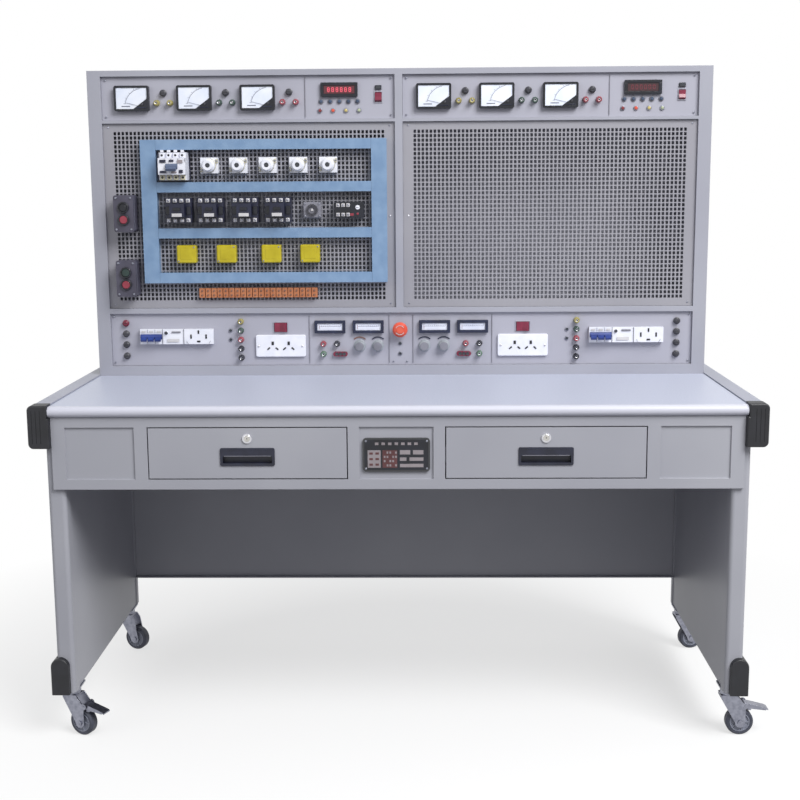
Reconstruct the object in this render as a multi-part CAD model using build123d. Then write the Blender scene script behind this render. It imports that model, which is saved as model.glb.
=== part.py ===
from build123d import *
import os
from math import radians, tan

# Electrician training bench: a steel desk with two drawers on casters, and on it
# an instrument console with two perforated mounting boards. Millimetres, +Z up.
# The sizes below are in the bench's own frame: X from its middle to the right,
# Y back from the front of the drawer fronts, Z up from the floor.
# Everything is shifted once, when it is written, to the middle of its footprint.

# Desk
TOP_WIDTH = 1600.0
TOP_HEIGHT = 815.0
TOP_THICK = 25.0
BENCH_DEPTH = 700.0
NOSING_OVERHANG = 10.0
NOSING_DEPTH = 20.0
TOP_SIDE_GAP = 0.5
LEG_WIDTH = 42.0
LEG_UNDER_TOP = 30.0
LEG_FRONT_Y = 8.0
LEG_BOTTOM = 120.0
FRONT_POST_DEPTH = 46.0
REAR_POST_DEPTH = 34.0
POST_RADIUS = 10.0
SIDE_INSET = 3.0
LEG_WALL = 2.0
SEAT_DEPTH = 1.0
FIT_GAP = 0.3
TOP_UNDERSIDE = TOP_HEIGHT - TOP_THICK
LEG_INNER_X = TOP_WIDTH / 2 - LEG_UNDER_TOP

# Side beams and the moulded caps that close them
BEAM_WIDTH = 32.0
BEAM_HEIGHT = 98.0
BEAM_WALL = 4.0
BEAM_RADIUS = 10.0
BEAM_DROP = 3.0
BEAM_START_Y = 24.0
GROOVE = 4.0
CAP_EDGE = 1.5
CAP_FRONT_Y = -14.0
CAP_RADIUS = 12.0
CAP_SOFT_EDGE = 4.0
CAP_LAP = 16.0
FOOT_CAP_HEIGHT = 90.0
FOOT_CAP_PROUD = 12.0
FOOT_CAP_LAP = 31.0
FOOT_CAP_FRONT_Y = -6.0
FOOT_CAP_BACK_Y = 44.0

# Drawer cabinet: its fronts fill the room between the blank plates and their stiles
CABINET_BOTTOM = TOP_UNDERSIDE - 170.0
CABINET_DEPTH = 470.0
FACE_THICK = 8.0
SHEET = 3.0
BLANK_WIDTH = 160.0
BLANK_HEIGHT = 122.0
BLANK_TO_LEG = 6.0
BLANK_X = LEG_INNER_X - BLANK_TO_LEG - BLANK_WIDTH / 2
BLANK_DEPTH = 4.0
CENTRE_BLANK_WIDTH = 170.0
OUTER_STILE = 32.75
INNER_STILE = 29.25
FRONT_OUTER_X = BLANK_X - BLANK_WIDTH / 2 - OUTER_STILE
FRONT_INNER_X = CENTRE_BLANK_WIDTH / 2 + INNER_STILE
FRONT_WIDTH = FRONT_OUTER_X - FRONT_INNER_X
FRONT_HEIGHT = 118.0
FRONT_X = (FRONT_OUTER_X + FRONT_INNER_X) / 2
FRONT_Z = TOP_UNDERSIDE - 85.0
FRONT_DEPTH = 18.0
FRONT_SKIN = 3.0
DRAWER_GAP = 2.5
TRAY_LENGTH = 420.0
TRAY_BOTTOM = FRONT_Z - 52.0
TRAY_HEIGHT = 66.0
TRAY_WALL = 2.0
RUNNER_DEPTH = 12.0
RUNNER_HEIGHT = 36.0
RUNNER_WALL = 1.6
RUNNER_START_Y = 22.0
RUNNER_LENGTH = 410.0
PULL_WIDTH = 126.0
PULL_HEIGHT = 42.0
PULL_Z = FRONT_Z - 8.0
PULL_FLANGE = 4.0
PULL_PROUD = 2.5
PULL_DEPTH = 16.0
PULL_WALL = 2.0
PULL_GRIP = 14.0
LOCK_RADIUS = 9.0
LOCK_HEAD_RADIUS = 11.0
LOCK_HEAD_THICK = 3.0
LOCK_Z = FRONT_Z + 35.0
LOCK_LENGTH = 22.0
CAM_LENGTH = 36.0
CAM_WIDTH = 9.0
CAM_THICK = 2.0
KEYWAY_WIDTH = 2.0
KEYWAY_HEIGHT = 9.0
PANEL_BACK_Y = BENCH_DEPTH - 16.0
PANEL_BOTTOM = LEG_BOTTOM + 80.0
PANEL_FLANGE = 18.0

# Casters
WHEEL_RADIUS = 33.0
WHEEL_WIDTH = 24.0
TREAD_SLOPE = 4.0
HUB_RADIUS = 22.0
HUB_RECESS = 3.0
HUB_BOSS_RADIUS = 8.0
AXLE_RADIUS = 4.0
RUN_FIT = 0.05
TRAIL = 28.0
CHEEK_GAP = 2.8
CHEEK_THICK = 3.0
CHEEK_END_RADIUS = 12.0
FORK_TOP = 102.0
FORK_PLATE = 4.0
FORK_RADIUS = 19.0
KINGPIN_RADIUS = 5.0
KINGPIN_HEAD = 3.0
MOUNT_PLATE = 4.0
MOUNT_PLATE_LENGTH = 70.0
CASTER_FRONT_Y = LEG_FRONT_Y + 52.0
CASTER_REAR_Y = BENCH_DEPTH - 55.0
CASTER_TURNS = {"front_left": -22.0, "front_right": 0.0, "rear_left": -18.0, "rear_right": 8.0}
PEDAL_REACH = 95.0
PEDAL_WIDTH = 26.0
PEDAL_THICK = 3.0
PEDAL_PIN_RADIUS = 3.0
PEDAL_X = 40.0
PEDAL_Z = 76.0
PEDAL_DROP = 10.0
SKIRT_THICK = 2.5
SHOE_START = 6.0
SHOE_LENGTH = 8.0
SHOE_DROP = 12.5

# Console: its openings are stacked on the table top, with a bar between each two
CONSOLE_DEPTH = 215.0
CONSOLE_FRONT_Y = BENCH_DEPTH - CONSOLE_DEPTH
FACE_BAR = 18.0
SIDE_BAR = 34.0
CENTRE_BAR = 20.0
PANEL_RECESS = 9.0
PANEL_SHEET = 2.5
BOTTOM_BAR = 26.0
LOWER_BAR = 14.0
UPPER_BAR = 8.0
TOP_BAR = 15.0
LOWER_HEIGHT = 139.0
MESH_HEIGHT = 478.0
UPPER_HEIGHT = 110.0
LOWER_START = TOP_HEIGHT + BOTTOM_BAR
LOWER_SPAN = (LOWER_START, LOWER_START + LOWER_HEIGHT)
MESH_SPAN = (LOWER_SPAN[1] + LOWER_BAR, LOWER_SPAN[1] + LOWER_BAR + MESH_HEIGHT)
UPPER_SPAN = (MESH_SPAN[1] + UPPER_BAR, MESH_SPAN[1] + UPPER_BAR + UPPER_HEIGHT)
CONSOLE_TOP = UPPER_SPAN[1] + TOP_BAR
SHELL_WALL = 3.0

# Places on the console were measured on a face of this half width and these heights
PANEL_HALF = TOP_WIDTH / 2 - SIDE_BAR
MEASURED_HALF = 766.0
MEASURED_LOWER = 139.0
MEASURED_MESH = 478.0
MEASURED_UPPER = 110.0


def across(*places):
    """Places to the right of a middle, spread with the width of the face."""
    spread = tuple(place * PANEL_HALF / MEASURED_HALF for place in places)
    return spread if len(spread) > 1 else spread[0]


def raised(span, measured, places):
    """Heights above an opening's lower edge, spread with its height."""
    low, high = span
    spread = tuple(low + place * (high - low) / measured for place in places)
    return spread if len(spread) > 1 else spread[0]


def on_lower(*places):
    return raised(LOWER_SPAN, MEASURED_LOWER, places)


def on_board(*places):
    return raised(MESH_SPAN, MEASURED_MESH, places)


def on_upper(*places):
    return raised(UPPER_SPAN, MEASURED_UPPER, places)


# Perforated boards
MESH_SHEET = 2.0
MESH_BORDER = 26.0
MESH_COLUMNS = 17
MESH_ROWS = 9
MESH_OPEN = 0.55
MESH_FLANGE = 14.0

# Instruments of the upper panels: offsets from the middle of each panel
METER_WIDTH = 90.0
METER_HEIGHT = 64.0
METER_PROUD = 14.0
METER_RIM = 5.0
METER_BODY_RADIUS = 26.0
METER_BODY_DEPTH = 34.0
METER_X = across(-298.0, -137.0, 26.0)
METER_Z = on_upper(55.0)
CAP_FUSE_X = across(81.0)
CAP_FUSE_Z = on_upper(68.0)
METER_POST_X = across(64.0, 98.0)
METER_POST_Z = on_upper(43.0)
DISPLAY_X = across(236.0)
DISPLAY_Z = on_upper(73.0)
DISPLAY_WIDTH = 95.0
DISPLAY_HEIGHT = 36.0
DISPLAY_PROUD = 7.0
DISPLAY_RIM = 8.0
DISPLAY_BODY_DEPTH = 45.0
KEY_RADIUS = 4.5
KEY_PITCH = 23.5
KEY_Z = on_upper(44.0)
LAMP_RADIUS = 4.5
LAMP_PITCH = 33.5
LAMP_Z = on_upper(21.0)
UPPER_ROCKER_X = across(336.0)
UPPER_ROCKER_Z = on_upper(54.0)
UPPER_ROCKER = (17.0, 24.0)
GUIDE_LENS_Z = on_upper(78.0)
GUIDE_LENS = (15.0, 9.0, 4.0)

# Turned fittings
POST_COLLAR_RADIUS = 8.0
POST_HOLE_RADIUS = 2.0
POST_PROUD = 16.0
STUD_RADIUS = 3.0
STUD_LENGTH = 14.0
FUSE_CAP_RADIUS = 9.0
FUSE_CAP_PROUD = 10.0

# Lower panel
PILOT_COLUMN_X = across(726.0)
PILOT_COLUMN_Z = on_lower(114.0, 86.0, 57.0, 27.0)
BREAKER_Z = on_lower(79.0)
NOSE_HEIGHT = 40.0
NOSE_PROUD = 16.0
BREAKER_WIDTH = 60.0
LEAKAGE_WIDTH = 56.0
MODULE_SOCKET_WIDTH = 78.0
BREAKER_DEPTH = 50.0
MODULE_ROW_WIDTH = BREAKER_WIDTH + LEAKAGE_WIDTH + MODULE_SOCKET_WIDTH
BREAKER_LEFT_X = tuple(x - MODULE_ROW_WIDTH / 2 for x in across(-590.0, 593.0))
POST_COLUMN_X = across(-421.0, 464.0)
POST_COLUMN_Z = on_lower(117.0, 93.0, 69.0, 45.0, 21.0)
LED_X = across(-449.0, 439.0)
LED_Z = on_lower(93.0, 69.0)
LED_RADIUS = 3.5
OUTLET_X = across(-316.0, 323.0)
OUTLET_Z = on_lower(52.0)
OUTLET_WIDTH = 132.0
OUTLET_HEIGHT = 58.0
OUTLET_PROUD = 8.0
OUTLET_BODY = (96.0, 40.0, 30.0)
LOWER_ROCKER_Z = on_lower(101.0)
LOWER_ROCKER = (24.0, 34.0)
SLIM_WIDTH = 81.0
SLIM_HEIGHT = 33.0
SLIM_PROUD = 9.0
SLIM_RIM = 7.0
SLIM_X = across(-185.0, -84.0, 91.0, 191.0)
SLIM_Z = on_lower(102.0)
SLIM_BODY_DEPTH = 40.0
KNOB_X = across(-107.0, -59.0, 64.0, 115.0)
KNOB_Z = on_lower(51.0)
KNOB_RADIUS = 14.0
KNOB_SKIRT_RADIUS = 16.0
KNOB_HEIGHT = 18.0
KNOB_RIBS = 12
SHAFT_RADIUS = 3.0
SHAFT_LENGTH = 12.0
OUTPUT_POST_X = across(-203.0, -167.0, 173.0, 209.0)
OUTPUT_POST_Z = on_lower(57.0, 30.0)
SWITCH_POST_X = across(-158.0, 168.0)
ESTOP_Z = on_lower(95.0)
ESTOP_RADIUS = 20.0
ESTOP_STEM_RADIUS = 11.0
ESTOP_PROUD = 30.0
COLLAR_HEIGHT = 6.0
SMALL_PILOT_Z = on_lower(57.0, 30.0)

# Blue wiring ducts on the left board, as (low, high) spans
DUCT_X = across(-666.0, -31.0)
DUCT_POST_WIDTH = 40.0
DUCT_DEPTH = 28.0
DUCT_BARS_Z = (on_board(410.0, 436.0), on_board(302.0, 328.0), on_board(184.0, 210.0), on_board(68.0, 95.0))
DUCT_LID = 4.0
DUCT_LIP = 1.0

# Devices on the left board
RCD_X = across(-579.0)
RCD_Z = on_board(368.0)
RCD_WIDTH = 70.0
RCD_HEIGHT = 70.0
RCD_DEPTH = 46.0
RCD_NOSE = 42.0
RCD_NOSE_PROUD = 16.0
RCD_LEVER = 30.0
SCREW_FUSE_X = across(-489.0, -414.0, -338.0, -259.0, -182.0)
SCREW_FUSE_Z = on_board(370.0)
SCREW_FUSE_BASE = (46.0, 40.0, 22.0)
SCREW_FUSE_RADIUS = 17.0
SCREW_FUSE_CAP = 28.0
CONTACTOR_X = across(-569.0, -486.0, -397.0, -312.0)
CONTACTOR_Z = on_board(256.0)
CONTACTOR_SIZE = (68.0, 64.0, 40.0)
CONTACTOR_HEAD = (38.0, 34.0, 24.0)
TIMER_BASE_X = across(-225.0)
TIMER_BASE = (46.0, 40.0, 24.0)
TIMER_RING = (15.0, 9.0, 5.0)
THERMAL_X = across(-129.0)
THERMAL_SIZE = (76.0, 40.0, 44.0)
RELAY_Z = on_board(255.0)
BOX_X = across(-554.0, -450.0, -333.0, -232.0)
BOX_Z = on_board(143.0)
BOX_SIZE = (50.0, 46.0, 32.0)
STRIP_X = across(-526.0, -216.0)
STRIP_Z = on_board(41.0)
STRIP_HEIGHT = 25.0
STRIP_DEPTH = 16.0
STRIP_POLES = 20
STATION_X = across(-709.0)
STATION_Z = on_board(249.0, 82.0)
STATION_SIZE = (52.0, 94.0, 52.0)
STATION_PITCH = 31.0
BEZEL_RADIUS = 14.0
BEZEL_HEIGHT = 4.0
BUTTON_RADIUS = 10.5
BUTTON_PROUD = 3.0
BUTTON_STROKE = 4.0
BUTTON_LENGTH = 12.0

# Switch levers
LEVER_HUB_RADIUS = 6.5
LEVER_LENGTH = 10.0
LEVER_THICK = 6.0
TOGGLE_GAP = 3.5
LEVER_REST = 35.0
ROCKER_LIFT = 2.0
ROCKER_RIM = 2.0
ROCKER_RIM_PROUD = 2.0
ROCKER_BELOW = 7.0
ROCKER_PIVOT = 4.0
ROCKER_TURN = 10.0

# Places worked out from the sizes above
LEG_OUTER_X = LEG_INNER_X + LEG_WIDTH
CASTER_X = (LEG_INNER_X + LEG_OUTER_X) / 2
BEAM_OUTER_X = LEG_OUTER_X + BEAM_WIDTH
BEAM_TOP = TOP_HEIGHT + BEAM_DROP
CONSOLE_BOTTOM = TOP_HEIGHT - SEAT_DEPTH
CAP_OUTER_X = BEAM_OUTER_X + CAP_EDGE
BAY_WIDTH = FRONT_WIDTH + 2 * DRAWER_GAP
MESH_Y = CONSOLE_FRONT_Y + PANEL_RECESS
PANEL_Y = CONSOLE_FRONT_Y + PANEL_RECESS
CABINET_BACK_Y = FACE_THICK + CABINET_DEPTH
SHELL_FRONT_Y = CONSOLE_FRONT_Y + FACE_BAR
CONSOLE_HALF = TOP_WIDTH / 2
UPPER_MIDDLE = (CENTRE_BAR / 2 + PANEL_HALF) / 2
CHEEK_INNER = WHEEL_WIDTH / 2 + CHEEK_GAP
STRIKE_Z = FRONT_Z + FRONT_HEIGHT / 2 + DRAWER_GAP
SIDES = {"left": -1, "right": 1}

# The footprint runs from the left cap to the right pedal, and from the caps to the back
ORIGIN_X = (CASTER_X + PEDAL_REACH - CAP_OUTER_X) / 2
ORIGIN_Y = (BENCH_DEPTH + CAP_FRONT_Y) / 2
ORIGIN = Pos(-ORIGIN_X, -ORIGIN_Y, 0)


def span(middle, width):
    return (middle - width / 2, middle + width / 2)


def block(x, y, z):
    """A box from its low and high place along each axis."""
    middle = [(low + high) / 2 for low, high in (x, y, z)]
    size = [high - low for low, high in (x, y, z)]
    return Pos(*middle) * Box(*size)


def mirrored(x, side):
    """A span on the right half, or its mirror image on the left half."""
    return tuple(sorted((side * x[0], side * x[1])))


def from_front(outline, back_y, front_y):
    """An outline drawn in X and Z, extruded from its back to its front."""
    plane = Plane((0, back_y, 0), x_dir=(1, 0, 0), z_dir=(0, -1, 0))
    return extrude(plane * outline, amount=back_y - front_y, dir=(0, -1, 0))


def turned(points, x, y, z):
    """A body turned about an axis along Y, from points of radius and depth."""
    return Pos(x, y, z) * revolve(Polygon(*points, align=None), Axis.Y)


def disc(radius, x, z, back_y, front_y):
    return Pos(x, (back_y + front_y) / 2, z) * Rot(90, 0, 0) * Cylinder(radius, back_y - front_y)


def join(solids):
    first, *rest = solids
    return first.fuse(*rest) if rest else first


def cut(body, tools):
    return body.cut(*tools) if tools else body


def save(name, *solids):
    placed = [ORIGIN * piece for shape in solids for piece in shape.solids()]
    export_step(Compound(children=placed) if len(placed) > 1 else placed[0], f"parts/{name}.step")


# Desk frame

def leg_outline(inset):
    """The plan of a side frame: two round-cornered posts and the panel between them."""
    front_middle = LEG_FRONT_Y + FRONT_POST_DEPTH / 2
    rear_middle = BENCH_DEPTH - REAR_POST_DEPTH / 2
    front = Pos(0, front_middle) * RectangleRounded(LEG_WIDTH - 2 * inset, FRONT_POST_DEPTH - 2 * inset,
                                                    POST_RADIUS - inset)
    rear = Pos(0, rear_middle) * RectangleRounded(LEG_WIDTH - 2 * inset, REAR_POST_DEPTH - 2 * inset,
                                                  POST_RADIUS - inset)
    panel = Pos(0, (front_middle + rear_middle) / 2) * Rectangle(LEG_WIDTH - 2 * SIDE_INSET - 2 * inset,
                                                                 rear_middle - front_middle)
    return front + rear + panel


def side_leg(side):
    """A folded side frame: its posts and panel are one hollow box, open at the foot."""
    place = Pos(side * CASTER_X, 0, LEG_BOTTOM)
    height = TOP_UNDERSIDE - LEG_BOTTOM
    box = place * extrude(leg_outline(0), amount=height)
    hollow = place * Pos(0, 0, -1) * extrude(leg_outline(LEG_WALL), amount=height - LEG_WALL + 1)
    return cut(box, [hollow])


def side_beam(side):
    """The extruded profile along each side of the top, with a lip beside the top's edge."""
    bottom = BEAM_TOP - BEAM_HEIGHT
    outline = Polygon((TOP_WIDTH / 2, BEAM_TOP), (BEAM_OUTER_X, BEAM_TOP), (BEAM_OUTER_X, bottom),
                      (LEG_OUTER_X, bottom), (LEG_OUTER_X, TOP_UNDERSIDE), (TOP_WIDTH / 2, TOP_UNDERSIDE),
                      align=None)
    outer = [v for v in outline.vertices() if v.X > BEAM_OUTER_X - 1]
    outline = fillet(outer, BEAM_RADIUS)
    grooves = [Pos(BEAM_OUTER_X, BEAM_TOP - BEAM_HEIGHT * share) * Rectangle(GROOVE, GROOVE)
               for share in (0.4, 0.6)]
    room = Pos((LEG_OUTER_X + BEAM_OUTER_X) / 2, BEAM_TOP - BEAM_HEIGHT / 2) * Rectangle(
        BEAM_WIDTH - 2 * BEAM_WALL, BEAM_HEIGHT - 2 * BEAM_WALL)
    beam = from_front(outline - grooves - room, BENCH_DEPTH, BEAM_START_Y)
    return beam if side > 0 else mirror(beam, Plane.YZ)


def corner_cap(side):
    """The moulded cap at the front of a side beam: it also laps the leg's front."""
    top = BEAM_TOP + CAP_EDGE
    bottom = BEAM_TOP - BEAM_HEIGHT - CAP_EDGE
    inner = LEG_OUTER_X - CAP_LAP
    outline = Polygon((TOP_WIDTH / 2, top), (CAP_OUTER_X, top), (CAP_OUTER_X, bottom), (inner, bottom),
                      (inner, TOP_UNDERSIDE), (TOP_WIDTH / 2, TOP_UNDERSIDE), align=None)
    outer = [v for v in outline.vertices() if v.X > CAP_OUTER_X - 1]
    outline = fillet(outer, CAP_RADIUS)
    cap = from_front(outline, BEAM_START_Y, CAP_FRONT_Y)
    cap = fillet(cap.faces().sort_by(Axis.Y)[0].outer_wire().edges(), CAP_SOFT_EDGE)
    leg = block((inner - 1, LEG_OUTER_X), (LEG_FRONT_Y, BEAM_START_Y + 1), (bottom - 1, TOP_UNDERSIDE))
    grooves = [block(span(LEG_OUTER_X + BEAM_WIDTH * share, CAP_EDGE), (CAP_FRONT_Y - 1, CAP_FRONT_Y + 1),
                     (bottom + CAP_RADIUS, top - CAP_RADIUS)) for share in (0.1, 0.4, 0.7)]
    cap = cut(cap, [leg] + grooves)
    return cap if side > 0 else mirror(cap, Plane.YZ)


def foot_cap(side):
    """The arched cap on the foot of a front leg, open where the leg stands in it."""
    low, high = LEG_OUTER_X - FOOT_CAP_LAP, LEG_OUTER_X + FOOT_CAP_PROUD
    radius = (high - low) / 2
    crown = LEG_BOTTOM + FOOT_CAP_HEIGHT - radius
    arch = Pos((low + high) / 2, crown) * Circle(radius)
    shank = Pos((low + high) / 2, (LEG_BOTTOM + crown) / 2) * Rectangle(high - low, crown - LEG_BOTTOM)
    cap = from_front(arch + shank, FOOT_CAP_BACK_Y, FOOT_CAP_FRONT_Y)
    front = cap.faces().sort_by(Axis.Y)[0].outer_wire().edges()
    cap = fillet([e for e in front if e.center().Z > LEG_BOTTOM + 1], CAP_SOFT_EDGE)
    leg = block((LEG_INNER_X - 1, LEG_OUTER_X), (LEG_FRONT_Y, FOOT_CAP_BACK_Y + 1),
                (LEG_BOTTOM - 1, crown + radius + 1))
    cap = cut(cap, [leg])
    return cap if side > 0 else mirror(cap, Plane.YZ)


def table_top():
    """The board, with a shallow seat for the console, and its bull-nosed front edge."""
    x = span(0, TOP_WIDTH - 2 * TOP_SIDE_GAP)
    joint_y = NOSING_DEPTH - NOSING_OVERHANG
    board = block(x, (joint_y, BENCH_DEPTH), (TOP_UNDERSIDE, TOP_HEIGHT))
    seat = block(span(0, TOP_WIDTH), (CONSOLE_FRONT_Y - FIT_GAP, BENCH_DEPTH + 1),
                 (CONSOLE_BOTTOM, TOP_HEIGHT + 1))
    nosing = block(x, (-NOSING_OVERHANG, joint_y), (TOP_UNDERSIDE, TOP_HEIGHT))
    front = nosing.faces().sort_by(Axis.Y)[0].edges().filter_by(Axis.X)
    return cut(board, [seat]), fillet(front, TOP_THICK / 2 - 0.5)


def drawer_cabinet():
    """The drawer housing: a face frame with blank pockets, and two bays behind it."""
    face_half = LEG_OUTER_X - CAP_LAP - FIT_GAP
    top = TOP_UNDERSIDE - FIT_GAP
    face = block(span(0, 2 * face_half), (0, FACE_THICK), (CABINET_BOTTOM, top))
    body = block(span(0, 2 * (LEG_INNER_X - FIT_GAP)), (FACE_THICK, CABINET_BACK_Y), (CABINET_BOTTOM, top))
    floor = CABINET_BOTTOM + SHEET
    back = CABINET_BACK_Y - SHEET
    bay_low = FRONT_X - BAY_WIDTH / 2
    bay_high = FRONT_X + BAY_WIDTH / 2
    opening_z = (FRONT_Z - FRONT_HEIGHT / 2 - DRAWER_GAP, STRIKE_Z)
    pockets = [block(span(0, 2 * (bay_low - SHEET)), (FACE_THICK, back), (floor, top + 1)),
               block(span(0, CENTRE_BLANK_WIDTH), (-1, BLANK_DEPTH), span(FRONT_Z, BLANK_HEIGHT))]
    for side in SIDES.values():
        bay = mirrored((bay_low, bay_high), side)
        end = mirrored((bay_high + SHEET, LEG_INNER_X - FIT_GAP - SHEET), side)
        blank = span(side * BLANK_X, BLANK_WIDTH)
        pockets += [block(bay, (FACE_THICK, back), (floor, top + 1)),
                    block(bay, (-1, FACE_THICK + 1), opening_z),
                    block(end, (FACE_THICK, back), (floor, top + 1)),
                    block(blank, (-1, BLANK_DEPTH), span(FRONT_Z, BLANK_HEIGHT))]
    return cut(join([face, body]), pockets)


def drawer_runners():
    """Four channels on the walls of the bays, open towards the drawers."""
    channels = []
    length = (RUNNER_START_Y, RUNNER_START_Y + RUNNER_LENGTH)
    for middle in (-FRONT_X, FRONT_X):
        for hand in (-1, 1):
            wall = middle + hand * BAY_WIDTH / 2
            x = tuple(sorted((wall, wall - hand * RUNNER_DEPTH)))
            web = wall - hand * RUNNER_WALL
            groove = tuple(sorted((web, wall - hand * (RUNNER_DEPTH + 1))))
            channels.append(cut(block(x, length, span(PULL_Z, RUNNER_HEIGHT)),
                                [block(groove, (length[0] - 1, length[1] + 1),
                                       span(PULL_Z, RUNNER_HEIGHT - 2 * RUNNER_WALL))]))
    return channels


def drawer_front(side):
    """A folded front with an upturned edge, cut for the pull and the lock."""
    middle = side * FRONT_X
    outer = block(span(middle, FRONT_WIDTH), (0, FRONT_DEPTH), span(FRONT_Z, FRONT_HEIGHT))
    hollow = block(span(middle, FRONT_WIDTH - 2 * SHEET), (FRONT_SKIN, FRONT_DEPTH + 1),
                   span(FRONT_Z, FRONT_HEIGHT - 2 * SHEET))
    window = block(span(middle, PULL_WIDTH - 2 * PULL_FLANGE + 2 * FIT_GAP), (-1, FRONT_SKIN + 1),
                   span(PULL_Z, PULL_HEIGHT - 2 * PULL_FLANGE + 2 * FIT_GAP))
    lock_hole = disc(LOCK_RADIUS + RUN_FIT, middle, LOCK_Z, FRONT_SKIN + 1, -1)
    return cut(outer, [hollow, window, lock_hole])


def drawer_tray(side):
    """The open tray behind the front, with the sliding member of each runner."""
    middle = side * FRONT_X
    width = BAY_WIDTH - 2 * (RUNNER_DEPTH + 1)
    y = (FRONT_DEPTH, FRONT_DEPTH + TRAY_LENGTH)
    z = (TRAY_BOTTOM, TRAY_BOTTOM + TRAY_HEIGHT)
    inside_x = span(middle, width - 2 * TRAY_WALL)
    above = (z[0] + TRAY_WALL, z[1] + 1)
    tray = cut(block(span(middle, width), (FRONT_SKIN, y[1]), z),
               [block(inside_x, (y[0] + TRAY_WALL, y[1] - TRAY_WALL), above),
                block(inside_x, (FRONT_SKIN - 1, y[0]), above)])
    members = []
    for hand in (-1, 1):
        wall = middle + hand * BAY_WIDTH / 2
        x = tuple(sorted((middle + hand * width / 2, wall - hand * (RUNNER_WALL + FIT_GAP))))
        height = RUNNER_HEIGHT - 2 * RUNNER_WALL - 2 * FIT_GAP
        members.append(block(x, (RUNNER_START_Y, RUNNER_START_Y + RUNNER_LENGTH), span(PULL_Z, height)))
    return [tray] + members


def drawer_pull(side):
    """A recessed cup with a grip lip across the upper part of its mouth."""
    middle = side * FRONT_X
    flange = from_front(Pos(middle, PULL_Z) * RectangleRounded(PULL_WIDTH, PULL_HEIGHT, PULL_FLANGE),
                        0, -PULL_PROUD)
    cup_width = PULL_WIDTH - 2 * PULL_FLANGE
    cup_height = PULL_HEIGHT - 2 * PULL_FLANGE
    cup = block(span(middle, cup_width), (0, PULL_DEPTH), span(PULL_Z, cup_height))
    inside_x = span(middle, cup_width - 2 * PULL_WALL)
    inside_z = span(PULL_Z, cup_height - 2 * PULL_WALL)
    hollow = block(inside_x, (PULL_WALL, PULL_DEPTH - PULL_WALL), inside_z)
    mouth = block(inside_x, (-PULL_PROUD - 1, PULL_WALL + 1), (inside_z[0], inside_z[1] - PULL_GRIP))
    return cut(join([flange, cup]), [hollow, mouth])


def drawer_lock(side):
    """The barrel of the drawer lock, with its keyway and the cam behind, at rest unlocked."""
    middle = side * FRONT_X
    head = disc(LOCK_HEAD_RADIUS, middle, LOCK_Z, -RUN_FIT, -LOCK_HEAD_THICK)
    barrel = disc(LOCK_RADIUS, middle, LOCK_Z, LOCK_LENGTH, -LOCK_HEAD_THICK / 2)
    cam = block((middle - CAM_WIDTH / 2, middle + CAM_LENGTH), (LOCK_LENGTH, LOCK_LENGTH + CAM_THICK),
                span(LOCK_Z, CAM_WIDTH))
    keyway = block(span(middle, KEYWAY_WIDTH), (-LOCK_HEAD_THICK - 1, 1), span(LOCK_Z, KEYWAY_HEIGHT))
    return cut(join([head, barrel, cam]), [keyway])


def modesty_panel():
    """The back sheet between the legs, with its bottom edge folded forward."""
    x = span(0, 2 * (LEG_INNER_X - FIT_GAP))
    sheet = block(x, (PANEL_BACK_Y - SHEET, PANEL_BACK_Y), (PANEL_BOTTOM, TOP_UNDERSIDE - FIT_GAP))
    fold = block(x, (PANEL_BACK_Y - PANEL_FLANGE, PANEL_BACK_Y), (PANEL_BOTTOM, PANEL_BOTTOM + SHEET))
    return join([sheet, fold])


# Casters, drawn with the swivel axis at the origin and the wheel trailing along +X

def caster_places():
    for name, turn in CASTER_TURNS.items():
        end, side = name.split("_")
        y = CASTER_FRONT_Y if end == "front" else CASTER_REAR_Y
        yield name, Pos(SIDES[side] * CASTER_X, y, 0) * Rot(0, 0, turn)


def caster_wheel():
    """A tyre with sloped shoulders, dished sides and a bored hub."""
    half = WHEEL_WIDTH / 2
    points = [(AXLE_RADIUS + RUN_FIT, -half), (HUB_BOSS_RADIUS, -half), (HUB_BOSS_RADIUS, HUB_RECESS - half),
              (HUB_RADIUS, HUB_RECESS - half), (HUB_RADIUS, -half), (WHEEL_RADIUS - TREAD_SLOPE, -half),
              (WHEEL_RADIUS, TREAD_SLOPE - half)]
    profile = Polygon(*points, *[(r, -w) for r, w in reversed(points)], align=None)
    return Pos(TRAIL, 0, WHEEL_RADIUS) * revolve(profile, Axis.Y)


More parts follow.
